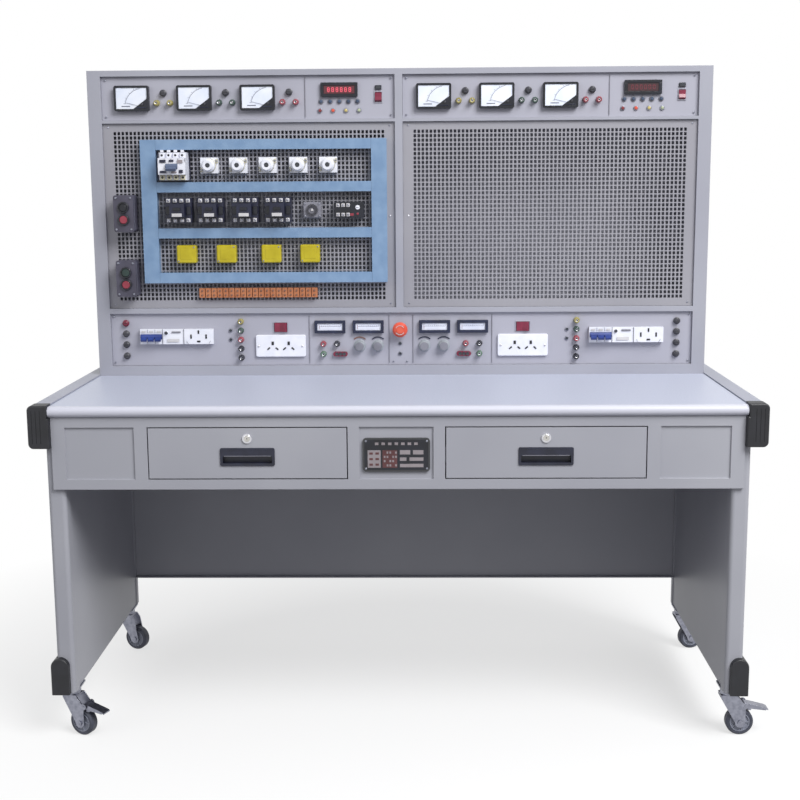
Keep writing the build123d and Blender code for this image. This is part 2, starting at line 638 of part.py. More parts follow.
def caster_fork(with_pedal):
    """The swivelling fork: a top plate, two cheeks and the axle bolt across them."""
    upper_x, upper_z = (PEDAL_X, PEDAL_Z) if with_pedal else (TRAIL, FORK_TOP - CHEEK_END_RADIUS)
    corners = Polygon((TRAIL - CHEEK_END_RADIUS, WHEEL_RADIUS), (TRAIL + CHEEK_END_RADIUS, WHEEL_RADIUS),
                      (upper_x, upper_z), (FORK_RADIUS, FORK_TOP), (-FORK_RADIUS, FORK_TOP),
                      (-FORK_RADIUS, FORK_TOP - 2 * FORK_PLATE), align=None)
    outline = corners + Pos(TRAIL, WHEEL_RADIUS) * Circle(CHEEK_END_RADIUS)
    if with_pedal:
        outline += Pos(upper_x, upper_z) * Circle(2.5 * PEDAL_PIN_RADIUS)
        outline -= Pos(upper_x, upper_z) * Circle(PEDAL_PIN_RADIUS + RUN_FIT)
    cheeks = [from_front(outline, y + CHEEK_THICK / 2, y - CHEEK_THICK / 2)
              for y in (-CHEEK_INNER - CHEEK_THICK / 2, CHEEK_INNER + CHEEK_THICK / 2)]
    half = CHEEK_INNER + CHEEK_THICK
    roof = block((-FORK_RADIUS, FORK_RADIUS), (-half, half), (FORK_TOP - FORK_PLATE, FORK_TOP))
    axle = disc(AXLE_RADIUS, TRAIL, WHEEL_RADIUS, half, -half)
    heads = [disc(AXLE_RADIUS + 2.5, TRAIL, WHEEL_RADIUS, y + 1.5, y - 1.5)
             for y in (-half - 1.5, half + 1.5)]
    bore = Pos(0, 0, FORK_TOP) * Cylinder(KINGPIN_RADIUS + RUN_FIT, 4 * FORK_PLATE)
    return cut(join(cheeks + [roof, axle] + heads), [bore])


def caster_plate():
    """The mounting plate with its bearing race and the riveted kingpin, under the leg."""
    plate = Pos(0, 0, LEG_BOTTOM - MOUNT_PLATE / 2) * Box(LEG_WIDTH, MOUNT_PLATE_LENGTH, MOUNT_PLATE)
    race_bottom = FORK_TOP + FIT_GAP
    race_top = LEG_BOTTOM - MOUNT_PLATE
    race = Pos(0, 0, (race_bottom + race_top) / 2) * Cylinder(FORK_RADIUS, race_top - race_bottom)
    pin_bottom = FORK_TOP - FORK_PLATE - FIT_GAP
    pin = Pos(0, 0, (pin_bottom + race_top) / 2) * Cylinder(KINGPIN_RADIUS, race_top - pin_bottom)
    head = Pos(0, 0, pin_bottom - KINGPIN_HEAD / 2) * Cylinder(2 * KINGPIN_RADIUS, KINGPIN_HEAD)
    return join([plate, race, pin, head])


def brake_pedal():
    """The brake lever between the cheeks: a pressed channel on its pin, with a toe and a brake shoe."""
    half = PEDAL_WIDTH / 2
    end_z = PEDAL_Z - PEDAL_DROP
    thick = PEDAL_THICK
    side_view = Polygon((PEDAL_X - 4, PEDAL_Z + thick), (PEDAL_X + 10, PEDAL_Z + thick),
                        (PEDAL_REACH - 6, end_z + thick), (PEDAL_REACH, end_z), (PEDAL_REACH, end_z - thick),
                        (PEDAL_REACH - 6, end_z), (PEDAL_X + 10, PEDAL_Z), (PEDAL_X - 4, PEDAL_Z - thick),
                        align=None)
    plate = from_front(side_view, half, -half)
    boss = disc(2 * PEDAL_PIN_RADIUS - 0.5, PEDAL_X, PEDAL_Z, half, -half)
    pin_half = CHEEK_INNER + CHEEK_THICK + 1
    pin = disc(PEDAL_PIN_RADIUS, PEDAL_X, PEDAL_Z, pin_half, -pin_half)
    shoe_x = (PEDAL_X + SHOE_START, PEDAL_X + SHOE_START + SHOE_LENGTH)
    shoe = block(shoe_x, (-half, half), (PEDAL_Z - SHOE_DROP, PEDAL_Z))
    skirt = Polygon((PEDAL_X - 4, PEDAL_Z + thick), (PEDAL_X + 10, PEDAL_Z + thick),
                    (PEDAL_REACH - 6, end_z + thick), (PEDAL_REACH - 2, end_z),
                    (PEDAL_REACH - 6, end_z - thick),
                    (PEDAL_X + 12, PEDAL_Z - 3 * thick), (PEDAL_X - 4, PEDAL_Z - 2 * thick), align=None)
    skirts = [from_front(skirt, y + SKIRT_THICK / 2, y - SKIRT_THICK / 2)
              for y in span(0, PEDAL_WIDTH - SKIRT_THICK)]
    return join([plate, boss, pin, shoe] + skirts)


# Console housing

def console_frame():
    """The face frame: outer bars, two cross rails and the post between the boards."""
    x = span(0, TOP_WIDTH)
    face = block(x, (CONSOLE_FRONT_Y, SHELL_FRONT_Y), (CONSOLE_BOTTOM, CONSOLE_TOP))
    deep = (CONSOLE_FRONT_Y - 1, SHELL_FRONT_Y + 1)
    openings = [block(span(0, 2 * PANEL_HALF), deep, LOWER_SPAN)]
    for side in SIDES.values():
        half = mirrored((CENTRE_BAR / 2, PANEL_HALF), side)
        openings += [block(half, deep, MESH_SPAN), block(half, deep, UPPER_SPAN)]
    return cut(face, openings)


def console_shell():
    """The folded housing behind the frame, with the shelves between its compartments."""
    outer = block(span(0, TOP_WIDTH), (SHELL_FRONT_Y, BENCH_DEPTH), (CONSOLE_BOTTOM, CONSOLE_TOP))
    inside = CONSOLE_HALF - SHELL_WALL
    deep = (SHELL_FRONT_Y - 1, BENCH_DEPTH - SHELL_WALL)
    lower_shelf = (LOWER_SPAN[1] + MESH_SPAN[0]) / 2
    upper_shelf = (MESH_SPAN[1] + UPPER_SPAN[0]) / 2
    half_wall = SHELL_WALL / 2
    rooms = [block((-inside, inside), deep, (CONSOLE_BOTTOM + SHELL_WALL, lower_shelf - half_wall))]
    for side in SIDES.values():
        half = mirrored((half_wall, inside), side)
        rooms += [block(half, deep, (lower_shelf + half_wall, upper_shelf - half_wall)),
                  block(half, deep, (upper_shelf + half_wall, CONSOLE_TOP - SHELL_WALL))]
    return cut(outer, rooms)


def mesh_panel(side):
    """A perforated board with a plain border and edges folded back."""
    x = mirrored((CENTRE_BAR / 2 + FIT_GAP, PANEL_HALF - FIT_GAP), side)
    z = (MESH_SPAN[0] + FIT_GAP, MESH_SPAN[1] - FIT_GAP)
    width, height = x[1] - x[0], z[1] - z[0]
    pitch_x = (width - 2 * MESH_BORDER) / MESH_COLUMNS
    pitch_z = (height - 2 * MESH_BORDER) / MESH_ROWS
    middle = Pos((x[0] + x[1]) / 2, (z[0] + z[1]) / 2)
    hole = Rectangle(pitch_x * MESH_OPEN, pitch_z * MESH_OPEN)
    holes = [middle * place * hole for place in GridLocations(pitch_x, pitch_z, MESH_COLUMNS, MESH_ROWS)]
    board = from_front(middle * Rectangle(width, height) - holes, MESH_Y + MESH_SHEET, MESH_Y)
    fold = from_front(middle * Rectangle(width, height)
                      - middle * Rectangle(width - 2 * MESH_SHEET, height - 2 * MESH_SHEET),
                      MESH_Y + MESH_FLANGE, MESH_Y + MESH_SHEET)
    return join([board, fold])


# Switches

def rocker(x, z, width, length, upright):
    """A two-way paddle in its collar, pressed at one end: its ends are round about its pivot."""
    half = length / 2
    rise = ROCKER_LIFT + half * tan(radians(ROCKER_TURN))
    shallow_v = Polygon((-half, -rise), (-half, ROCKER_BELOW), (half, ROCKER_BELOW), (half, -rise),
                        (0, -ROCKER_LIFT), align=None)
    outline = Pos(0, -ROCKER_PIVOT) * shallow_v & Circle(half)
    paddle = extrude(Rot(0, 0, -ROCKER_TURN) * outline, amount=width / 2, both=True)
    stand = Rot(0, 90, 0) if upright else Rot(0, 0, 0)
    return Pos(x, PANEL_Y - ROCKER_RIM_PROUD + ROCKER_PIVOT, z) * stand * paddle


def rocker_opening(width, length, upright):
    """The size in X and Z of the collar's window round a rocker."""
    room = (width + 2 * FIT_GAP, length + 4 * FIT_GAP)
    return room if upright else (room[1], room[0])


def lever(x, z, width, hub_y, poles):
    """A toggle for each pole on one round hub, pointing down at rest."""
    hub = Pos(x, hub_y, z) * Rot(0, 90, 0) * Cylinder(LEVER_HUB_RADIUS, width)
    pitch = width / poles
    stand = Pos(x, hub_y, z) * Rot(LEVER_REST, 0, 0)
    arms = [stand * block(span((n - (poles - 1) / 2) * pitch, pitch - TOGGLE_GAP),
                          (-LEVER_HUB_RADIUS - LEVER_LENGTH, 0), span(0, LEVER_THICK)) for n in range(poles)]
    return join([hub] + arms)


def lever_seat(x, z, width, hub_y):
    return Pos(x, hub_y, z) * Rot(0, 90, 0) * Cylinder(LEVER_HUB_RADIUS + FIT_GAP, width + 2 * FIT_GAP)


def plunger(x, z, face_y, radius, length):
    """A round button head with a soft edge, standing out of its bezel."""
    soft = radius * 0.15
    return turned([(0, 0), (radius - soft, 0), (radius, soft), (radius, length), (0, length)],
                  x, face_y - BUTTON_PROUD, z)


def estop_button():
    """The red mushroom head on its stem."""
    radius = ESTOP_RADIUS
    points = [(0, 0), (radius * 0.7, 1.5), (radius * 0.95, 6), (radius, 11), (radius * 0.8, 14),
              (ESTOP_STEM_RADIUS, 15), (ESTOP_STEM_RADIUS, ESTOP_PROUD + 2), (0, ESTOP_PROUD + 2)]
    return turned(points, 0, PANEL_Y - ESTOP_PROUD, ESTOP_Z)


def regulator_knob(x):
    """A ribbed knob with a skirt, a pointer groove and its shaft."""
    face_y = PANEL_Y - KNOB_HEIGHT
    shaft_end = KNOB_HEIGHT + SHAFT_LENGTH
    under = KNOB_HEIGHT - FIT_GAP
    points = [(0, 0), (KNOB_RADIUS - 2, 0), (KNOB_RADIUS, 2), (KNOB_RADIUS, under - 3),
              (KNOB_SKIRT_RADIUS, under - 2), (KNOB_SKIRT_RADIUS, under), (SHAFT_RADIUS, under),
              (SHAFT_RADIUS, shaft_end), (0, shaft_end)]
    knob = turned(points, x, face_y, KNOB_Z)
    flutes = [Pos(x, face_y + under / 2 - 2, KNOB_Z) * Rot(0, 360 * n / KNOB_RIBS, 0)
              * Pos(KNOB_RADIUS, 0, 0) * Box(1.6, under - 4, 2.4) for n in range(KNOB_RIBS)]
    pointer = Pos(x, face_y, KNOB_Z) * Rot(0, -45, 0) * Pos(-KNOB_RADIUS / 2, 0, 0) * Box(KNOB_RADIUS, 1, 1.6)
    return cut(knob, flutes + [pointer])


# Instruments, as solids and as the holes that they pass through

def analog_meter(x):
    """A moving-coil meter: a bezel with a sunk dial and the cover over its pivot corner."""
    front = PANEL_Y - METER_PROUD
    bezel = from_front(Pos(x, METER_Z) * RectangleRounded(METER_WIDTH, METER_HEIGHT, METER_RIM),
                       PANEL_Y, front)
    dial_width = METER_WIDTH - 2 * METER_RIM
    dial_height = METER_HEIGHT - 2 * METER_RIM
    sunk = from_front(Pos(x, METER_Z) * Rectangle(dial_width, dial_height), front + METER_RIM, front - 1)
    right, low = x + dial_width / 2, METER_Z - dial_height / 2
    cover = from_front(Polygon((right, low), (right, low + dial_height * 0.5),
                               (right - dial_width * 0.44, low), align=None),
                       front + METER_RIM, front + 1)
    body = disc(METER_BODY_RADIUS, x, METER_Z, PANEL_Y + METER_BODY_DEPTH, PANEL_Y)
    return join([cut(bezel, [sunk]), cover, body])


def framed_window(x, z, width, height, rim, proud, body_size, body_depth):
    """A flat instrument: a raised frame round a sunk window, with a case behind the panel."""
    front = PANEL_Y - proud
    frame = from_front(Pos(x, z) * RectangleRounded(width, height, rim / 3), PANEL_Y, front)
    sunk = from_front(Pos(x, z) * Rectangle(width - 2 * rim, height - 2 * rim), front + proud / 2, front - 1)
    case = block(span(x, body_size[0]), (PANEL_Y, PANEL_Y + body_depth), span(z, body_size[1]))
    return join([cut(frame, [sunk]), case])


def slim_case():
    return (SLIM_WIDTH - 8, SLIM_HEIGHT - 6)


def display_case():
    return (DISPLAY_WIDTH - 8, DISPLAY_HEIGHT - 6)


def binding_post(x, z):
    """A shrouded 4 mm socket: collar, neck, head and the threaded stud through the panel."""
    radius = POST_COLLAR_RADIUS
    points = [(POST_HOLE_RADIUS, 0), (radius * 0.75, 0), (radius * 0.85, POST_PROUD * 0.55),
              (radius, POST_PROUD * 0.7), (radius, POST_PROUD), (STUD_RADIUS, POST_PROUD),
              (STUD_RADIUS, POST_PROUD + STUD_LENGTH), (0, POST_PROUD + STUD_LENGTH),
              (0, POST_PROUD * 0.8), (POST_HOLE_RADIUS, POST_PROUD * 0.8)]
    return turned(points, x, PANEL_Y - POST_PROUD, z)


def switch_post(x, z):
    """The long double post below each output."""
    height = 2 * POST_COLLAR_RADIUS
    head = from_front(Pos(x, z) * SlotOverall(2.4 * height, height * 0.8), PANEL_Y, PANEL_Y - POST_PROUD / 2)
    studs = [disc(STUD_RADIUS, x + side * height * 0.6, z, PANEL_Y + STUD_LENGTH, PANEL_Y)
             for side in (-1, 1)]
    return join([head] + studs)


def fuse_holder(x, z):
    """A screw-in fuse cap with a driver slot, on its threaded body."""
    radius = FUSE_CAP_RADIUS
    points = [(0, 0), (radius * 0.6, 0), (radius * 0.75, FUSE_CAP_PROUD * 0.5),
              (radius, FUSE_CAP_PROUD * 0.6), (radius, FUSE_CAP_PROUD), (STUD_RADIUS, FUSE_CAP_PROUD),
              (STUD_RADIUS, FUSE_CAP_PROUD + STUD_LENGTH), (0, FUSE_CAP_PROUD + STUD_LENGTH)]
    front_y = PANEL_Y - FUSE_CAP_PROUD
    slot = block(span(x, 2 * radius), (front_y - 1, front_y + 2), span(z, 2))
    return cut(turned(points, x, PANEL_Y - FUSE_CAP_PROUD, z), [slot])


def lamp(x, z, radius):
    """A domed indicator with its pin through the panel."""
    points = [(0, 0), (radius * 0.6, radius * 0.2), (radius, radius * 0.6), (radius, radius),
              (STUD_RADIUS / 2, radius), (STUD_RADIUS / 2, radius + STUD_LENGTH / 2),
              (0, radius + STUD_LENGTH / 2)]
    return turned(points, x, PANEL_Y - radius, z)


def guide_lens(x, z):
    """The rectangular lens above a rocker, with its pin through the panel."""
    width, height, proud = GUIDE_LENS
    lens = block(span(x, width), (PANEL_Y - proud, PANEL_Y), span(z, height))
    return join([lens, disc(STUD_RADIUS, x, z, PANEL_Y + STUD_LENGTH, PANEL_Y)])


def meter_places():
    return [side * UPPER_MIDDLE + x for side in (-1, 1) for x in METER_X]


def display_places():
    return [side * UPPER_MIDDLE + DISPLAY_X for side in (-1, 1)]


def key_places():
    return [(middle + n * KEY_PITCH, KEY_Z) for middle in display_places() for n in range(-2, 3)]


def lamp_places():
    return [(middle + (n - 1.5) * LAMP_PITCH, LAMP_Z) for middle in display_places() for n in range(4)]


def upper_rocker_places():
    return [side * UPPER_MIDDLE + UPPER_ROCKER_X for side in (-1, 1)]


def upper_post_places():
    return [(x + offset, METER_POST_Z) for x in meter_places() for offset in METER_POST_X]


def upper_fuse_places():
    return [(x + CAP_FUSE_X, CAP_FUSE_Z) for x in meter_places()]


def column_post_places():
    return [(x, z) for x in POST_COLUMN_X for z in POST_COLUMN_Z]


def output_post_places():
    places = [(x, OUTPUT_POST_Z[0]) for x in OUTPUT_POST_X]
    return places + [(OUTPUT_POST_X[0], OUTPUT_POST_Z[1]), (OUTPUT_POST_X[3], OUTPUT_POST_Z[1])]


def pilot_places():
    return [(side * PILOT_COLUMN_X, z) for side in (-1, 1) for z in PILOT_COLUMN_Z]


def led_places():
    return [(x, z) for x in LED_X for z in LED_Z] + [(0, z) for z in SMALL_PILOT_Z]


def guide_lens_places():
    return [(x, GUIDE_LENS_Z) for x in upper_rocker_places()]


def round_holes(places, radius):
    return [Pos(x, z) * Circle(radius) for x, z in places]


def window(x, z, size, room=FIT_GAP):
    return Pos(x, z) * Rectangle(size[0] + 2 * room, size[1] + 2 * room)


def rocker_collar(x, z, size, upright):
    """The raised collar that holds a rocker, and its window."""
    opening = rocker_opening(*size, upright)
    outer = Pos(x, z) * Rectangle(opening[0] + 2 * ROCKER_RIM, opening[1] + 2 * ROCKER_RIM)
    return outer, Pos(x, z) * Rectangle(*opening)


def upper_panel(side):
    """One instrument panel of the console's head, pierced for all that it carries."""
    middle = side * UPPER_MIDDLE
    width = PANEL_HALF - CENTRE_BAR / 2 - 2 * FIT_GAP
    height = UPPER_SPAN[1] - UPPER_SPAN[0] - 2 * FIT_GAP
    sheet = Pos(middle, sum(UPPER_SPAN) / 2) * Rectangle(width, height)
    near = [place for place in upper_post_places() if place[0] * side > 0]
    fuses = [place for place in upper_fuse_places() + guide_lens_places() if place[0] * side > 0]
    keys = [place for place in key_places() + lamp_places() if place[0] * side > 0]
    holes = round_holes(near + fuses, STUD_RADIUS + FIT_GAP) + round_holes(keys, STUD_RADIUS / 2 + FIT_GAP)
    holes += round_holes([(middle + x, METER_Z) for x in METER_X], METER_BODY_RADIUS + FIT_GAP)
    holes.append(window(middle + DISPLAY_X, DISPLAY_Z, display_case()))
    collar, opening = rocker_collar(middle + UPPER_ROCKER_X, UPPER_ROCKER_Z, UPPER_ROCKER, True)
    panel = from_front(sheet - holes - opening, PANEL_Y + PANEL_SHEET, PANEL_Y)
    return join([panel, from_front(collar - opening, PANEL_Y, PANEL_Y - ROCKER_RIM_PROUD)])


def lower_panel():
    """The power panel: one sheet pierced for breakers, sockets, meters, posts and switches."""
    sheet = Pos(0, sum(LOWER_SPAN) / 2) * Rectangle(2 * (PANEL_HALF - FIT_GAP),
                                                    LOWER_SPAN[1] - LOWER_SPAN[0] - 2 * FIT_GAP)
    studs = column_post_places() + output_post_places() + pilot_places()
    studs += [(x + side * POST_COLLAR_RADIUS * 1.2, OUTPUT_POST_Z[1])
              for x in SWITCH_POST_X for side in (-1, 1)]
    holes = round_holes(studs, STUD_RADIUS + FIT_GAP)
    holes += round_holes(led_places(), STUD_RADIUS / 2 + FIT_GAP)
    holes += round_holes([(x, KNOB_Z) for x in KNOB_X], SHAFT_RADIUS + RUN_FIT)
    holes += [window(x, SLIM_Z, slim_case()) for x in SLIM_X]
    holes += [window(x, OUTLET_Z, OUTLET_BODY) for x in OUTLET_X]
    row = BREAKER_WIDTH + LEAKAGE_WIDTH + MODULE_SOCKET_WIDTH
    holes += [window(x + row / 2, BREAKER_Z, (row, NOSE_HEIGHT)) for x in BREAKER_LEFT_X]
    collars = []
    for x in OUTLET_X:
        collar, opening = rocker_collar(x, LOWER_ROCKER_Z, LOWER_ROCKER, False)
        holes.append(opening)
        collars.append(from_front(collar - opening, PANEL_Y, PANEL_Y - ROCKER_RIM_PROUD))
    stem_hole = Pos(0, ESTOP_Z) * Circle(ESTOP_STEM_RADIUS + RUN_FIT)
    collars.append(from_front(Pos(0, ESTOP_Z) * Circle(ESTOP_STEM_RADIUS + 4) - stem_hole,
                              PANEL_Y, PANEL_Y - COLLAR_HEIGHT))
    return join([from_front(sheet - holes - stem_hole, PANEL_Y + PANEL_SHEET, PANEL_Y)] + collars)


def module_row(left_x):
    """A modular breaker, its leakage unit and a socket unit, side by side in one window."""
    nose_z = span(BREAKER_Z, NOSE_HEIGHT)
    depth = (PANEL_Y - NOSE_PROUD, PANEL_Y + BREAKER_DEPTH)
    first = left_x + BREAKER_WIDTH
    second = first + LEAKAGE_WIDTH
    third = second + MODULE_SOCKET_WIDTH
    hub = lever_seat(left_x + BREAKER_WIDTH / 2, BREAKER_Z, BREAKER_WIDTH - 4, depth[0])
    breaker = cut(block((left_x, first), depth, nose_z), [hub])
    leakage = block((first, second), depth, nose_z)
    test_key = disc(KEY_RADIUS, first + KEY_RADIUS + 5, BREAKER_Z + NOSE_HEIGHT / 4, depth[0], depth[0] - 2)
    outlet = block((second, third), depth, nose_z)
    outlet = cut(outlet, pin_slots((second + third) / 2, BREAKER_Z, depth[0]))
    return [breaker, join([leakage, test_key]), outlet]


def pin_slots(x, z, front_y):
    """The four flat slots of a three-phase socket: one at each side, above and below."""
    slots = [Pos(x + side * 20, z) * Rectangle(4, 11) for side in (-1, 1)]
    slots += [Pos(x, z + 12) * Rectangle(4, 9), Pos(x, z - 13) * Rectangle(9, 4)]
    return [from_front(slot, front_y + 10, front_y - 1) for slot in slots]


def outlet_plate(x):
    """The white double outlet: a soft-edged plate with two slot groups and a box behind."""
    front = PANEL_Y - OUTLET_PROUD
    plate = from_front(Pos(x, OUTLET_Z) * RectangleRounded(OUTLET_WIDTH, OUTLET_HEIGHT, 5), PANEL_Y, front)
    plate = fillet(plate.faces().sort_by(Axis.Y)[0].outer_wire().edges(), 2)
    box = block(span(x, OUTLET_BODY[0]), (PANEL_Y, PANEL_Y + OUTLET_BODY[2]), span(OUTLET_Z, OUTLET_BODY[1]))
    slots = []
    for side in (-1, 1):
        group = x + side * OUTLET_WIDTH * 0.16
        slots.append(Pos(group, OUTLET_Z + 7) * Rectangle(6, 9))
        slots += [Pos(group + end * 11, OUTLET_Z - 7) * Rot(0, 0, end * 50) * Rectangle(3.5, 9)
                  for end in (-1, 1)]
    return cut(join([plate, box]), [from_front(slot, front + 12, front - 1) for slot in slots])


# Things on the left board

def wiring_ducts():
    """The blue duct frame: two posts and four bars, each a trough with a lid that laps it."""
    front = MESH_Y - DUCT_DEPTH
    seam = front + DUCT_LID
    posts_x = ((DUCT_X[0], DUCT_X[0] + DUCT_POST_WIDTH), (DUCT_X[1] - DUCT_POST_WIDTH, DUCT_X[1]))
    post_z = (DUCT_BARS_Z[-1][0], DUCT_BARS_Z[0][1])
    bar_x = (posts_x[0][1] + FIT_GAP, posts_x[1][0] - FIT_GAP)
    ducts = []
    for x, z in [(post, post_z) for post in posts_x] + [(bar_x, bar) for bar in DUCT_BARS_Z]:
        inset = (x[0] + DUCT_LIP, x[1] - DUCT_LIP), (z[0] + DUCT_LIP, z[1] - DUCT_LIP)
        ducts.append(join([block(inset[0], (seam, MESH_Y), inset[1]), block(x, (front, seam), z)]))
    return ducts


def rcd_body():
    """The four-pole device: a stepped case with the lever's seat across its nose."""
    back_y = MESH_Y
    base_y = back_y - RCD_DEPTH
    base = block(span(RCD_X, RCD_WIDTH), (base_y, back_y), span(RCD_Z, RCD_HEIGHT))
    nose = block(span(RCD_X, RCD_WIDTH), (base_y - RCD_NOSE_PROUD, base_y), span(RCD_Z, RCD_NOSE))
    pitch = RCD_WIDTH / 4
    well_z = (RCD_HEIGHT + RCD_NOSE) / 4
    wells = [disc(4, RCD_X + (n - 1.5) * pitch, RCD_Z + side * well_z, base_y + 6, base_y - 1)
             for n in range(4) for side in (-1, 1)]
    seat = lever_seat(RCD_X, RCD_Z, RCD_LEVER, base_y - RCD_NOSE_PROUD)
    return cut(join([base, nose]), wells + [seat])


def screw_fuse(x):
    """A screw fuse: the rectangular foot and the round ceramic cap with its sight glass."""
    foot = block(span(x, SCREW_FUSE_BASE[0]), (MESH_Y - SCREW_FUSE_BASE[2], MESH_Y),
                 span(SCREW_FUSE_Z, SCREW_FUSE_BASE[1]))
    top = SCREW_FUSE_CAP
    radius = SCREW_FUSE_RADIUS
    cap = turned([(6, 3), (6, 0), (radius * 0.7, 0), (radius, 6), (radius, top), (0, top), (0, 3)],
                 x, MESH_Y - SCREW_FUSE_BASE[2] - top, SCREW_FUSE_Z)
    return join([foot, cap])


def contactor(x):
    """A contactor: the case, the raised arc chamber and the wells of its terminals."""
    width, height, depth = CONTACTOR_SIZE
    front = MESH_Y - depth
    case = block(span(x, width), (front, MESH_Y), span(CONTACTOR_Z, height))
    head = block(span(x, CONTACTOR_HEAD[0]), (front - CONTACTOR_HEAD[2], front),
                 span(CONTACTOR_Z, CONTACTOR_HEAD[1]))
    pitch = width / 4
    wells = [block(span(x + (n - 1.5) * pitch, pitch * 0.6), (front - 1, front + 6),
                   span(CONTACTOR_Z + side * (height + CONTACTOR_HEAD[1]) / 4, pitch * 0.6))
             for n in range(4) for side in (-1, 1)]
    return cut(join([case, head]), wells)


def timer_base():
    """The plug-in base of the time relay, with its round eight-pin socket."""
    width, height, depth = TIMER_BASE
    front = MESH_Y - depth
    outer, inner, proud = TIMER_RING
    ring = from_front(Pos(TIMER_BASE_X, RELAY_Z) * (Circle(outer) - Circle(inner)), front, front - proud)
    return join([block(span(TIMER_BASE_X, width), (front, MESH_Y), span(RELAY_Z, height)), ring])


def thermal_relay():
    """The overload relay, with terminal wells, its setting dial and its reset key."""
    width, height, depth = THERMAL_SIZE
    front = MESH_Y - depth
    case = block(span(THERMAL_X, width), (front, MESH_Y), span(RELAY_Z, height))
    wells = [block(span(THERMAL_X + (n - 1.5) * 13 - 8, 8), (front - 1, front + 5),
                   span(RELAY_Z + side * 12, 8))
             for n in range(3) for side in (-1, 1)]
    dial = disc(6, THERMAL_X + width * 0.3, RELAY_Z + 6, front, front - 3)
    reset = disc(3, THERMAL_X + width * 0.3, RELAY_Z - 10, front, front - 4)
    return cut(join([case, dial, reset]), wells)


def relay_box(x):
    """A yellow junction box with a soft-edged lid."""
    width, height, depth = BOX_SIZE
    box = block(span(x, width), (MESH_Y - depth, MESH_Y), span(BOX_Z, height))
    return fillet(box.faces().sort_by(Axis.Y)[0].outer_wire().edges(), 3)


def terminal_strip():
    """The orange strip of clamps, with a groove between each two."""
    strip = block(STRIP_X, (MESH_Y - STRIP_DEPTH, MESH_Y), span(STRIP_Z, STRIP_HEIGHT))
    pitch = (STRIP_X[1] - STRIP_X[0]) / STRIP_POLES
    grooves = [block(span(STRIP_X[0] + n * pitch, 2), (MESH_Y - STRIP_DEPTH - 1, MESH_Y - STRIP_DEPTH + 8),
                     span(STRIP_Z, STRIP_HEIGHT + 2)) for n in range(1, STRIP_POLES)]
    return cut(strip, grooves)


def button_station(z):
    """A two-button box with a raised round bezel for each button."""
    width, height, depth = STATION_SIZE
    front = MESH_Y - depth
    box = from_front(Pos(STATION_X, z) * RectangleRounded(width, height, 6), MESH_Y, front)
    places = [z + STATION_PITCH / 2, z - STATION_PITCH / 2]
    bezels = [disc(BEZEL_RADIUS, STATION_X, place, front, front - BEZEL_HEIGHT) for place in places]
    bores = [disc(BUTTON_RADIUS + RUN_FIT, STATION_X, place, front + BUTTON_LENGTH + BUTTON_STROKE,
                  front - BEZEL_HEIGHT - 1) for place in places]
    return cut(join([box] + bezels), bores)


def station_button(z, hand):
    face_y = MESH_Y - STATION_SIZE[2] - BEZEL_HEIGHT
    return plunger(STATION_X, z + hand * STATION_PITCH / 2, face_y, BUTTON_RADIUS, BUTTON_LENGTH)


def write_desk():
    for name, side in SIDES.items():
        save(f"side_leg_{name}", side_leg(side))
        save(f"drawer_{name}_front", drawer_front(side))
        save(f"drawer_{name}_tray", *drawer_tray(side))
        save(f"drawer_{name}_pull", drawer_pull(side))
        save(f"drawer_{name}_lock", drawer_lock(side))
    save("side_beams", *[side_beam(side) for side in SIDES.values()])
    save("frame_caps", *[cap(side) for cap in (corner_cap, foot_cap) for side in SIDES.values()])
    save("table_top", *table_top())
    save("drawer_cabinet", drawer_cabinet())
    save("drawer_runners", *drawer_runners())
    save("modesty_panel", modesty_panel())


def write_casters():
    plates = []
    for name, place in caster_places():
        braked = name.startswith("front")
        save(f"caster_fork_{name}", place * caster_fork(braked))
        save(f"caster_wheel_{name}", place * caster_wheel())
        plates.append(Pos(place.position.X, place.position.Y, 0) * caster_plate())
        if braked:
            save(f"brake_pedal_{name}", place * brake_pedal())
    save("caster_plates", *plates)


def write_console():
    save("console_frame", console_frame())
    save("console_shell", console_shell())
    save("mesh_panels", *[mesh_panel(side) for side in SIDES.values()])
    save("upper_panels", *[upper_panel(side) for side in SIDES.values()])
    save("lower_panel", lower_panel())


def write_instruments():
    slim = [framed_window(x, SLIM_Z, SLIM_WIDTH, SLIM_HEIGHT, SLIM_RIM, SLIM_PROUD, slim_case(),
                          SLIM_BODY_DEPTH)
            for x in SLIM_X]
    save("analog_meters", *[analog_meter(x) for x in meter_places()], *slim)
    displays = [framed_window(x, DISPLAY_Z, DISPLAY_WIDTH, DISPLAY_HEIGHT, DISPLAY_RIM, DISPLAY_PROUD,
                              display_case(), DISPLAY_BODY_DEPTH) for x in display_places()]
    save("digital_timers", *displays, *[lamp(x, z, KEY_RADIUS) for x, z in key_places()])
    rows = [module_row(x) for x in BREAKER_LEFT_X]
    save("breaker_bodies", rcd_body(), *[unit for row in rows for unit in row[:2]])
    save("socket_outlets", *[outlet_plate(x) for x in OUTLET_X], *[row[2] for row in rows])
    posts = upper_post_places() + column_post_places() + output_post_places()
    save("binding_posts", *[binding_post(x, z) for x, z in posts],
         *[switch_post(x, OUTPUT_POST_Z[1]) for x in SWITCH_POST_X])
    fuses = upper_fuse_places() + pilot_places()
    lamps = [lamp(x, z, LAMP_RADIUS) for x, z in lamp_places()]
    lamps += [lamp(x, z, LED_RADIUS) for x, z in led_places()]
    lamps += [guide_lens(x, z) for x, z in guide_lens_places()]
    save("fuses_and_lamps", *[fuse_holder(x, z) for x, z in fuses], *lamps)


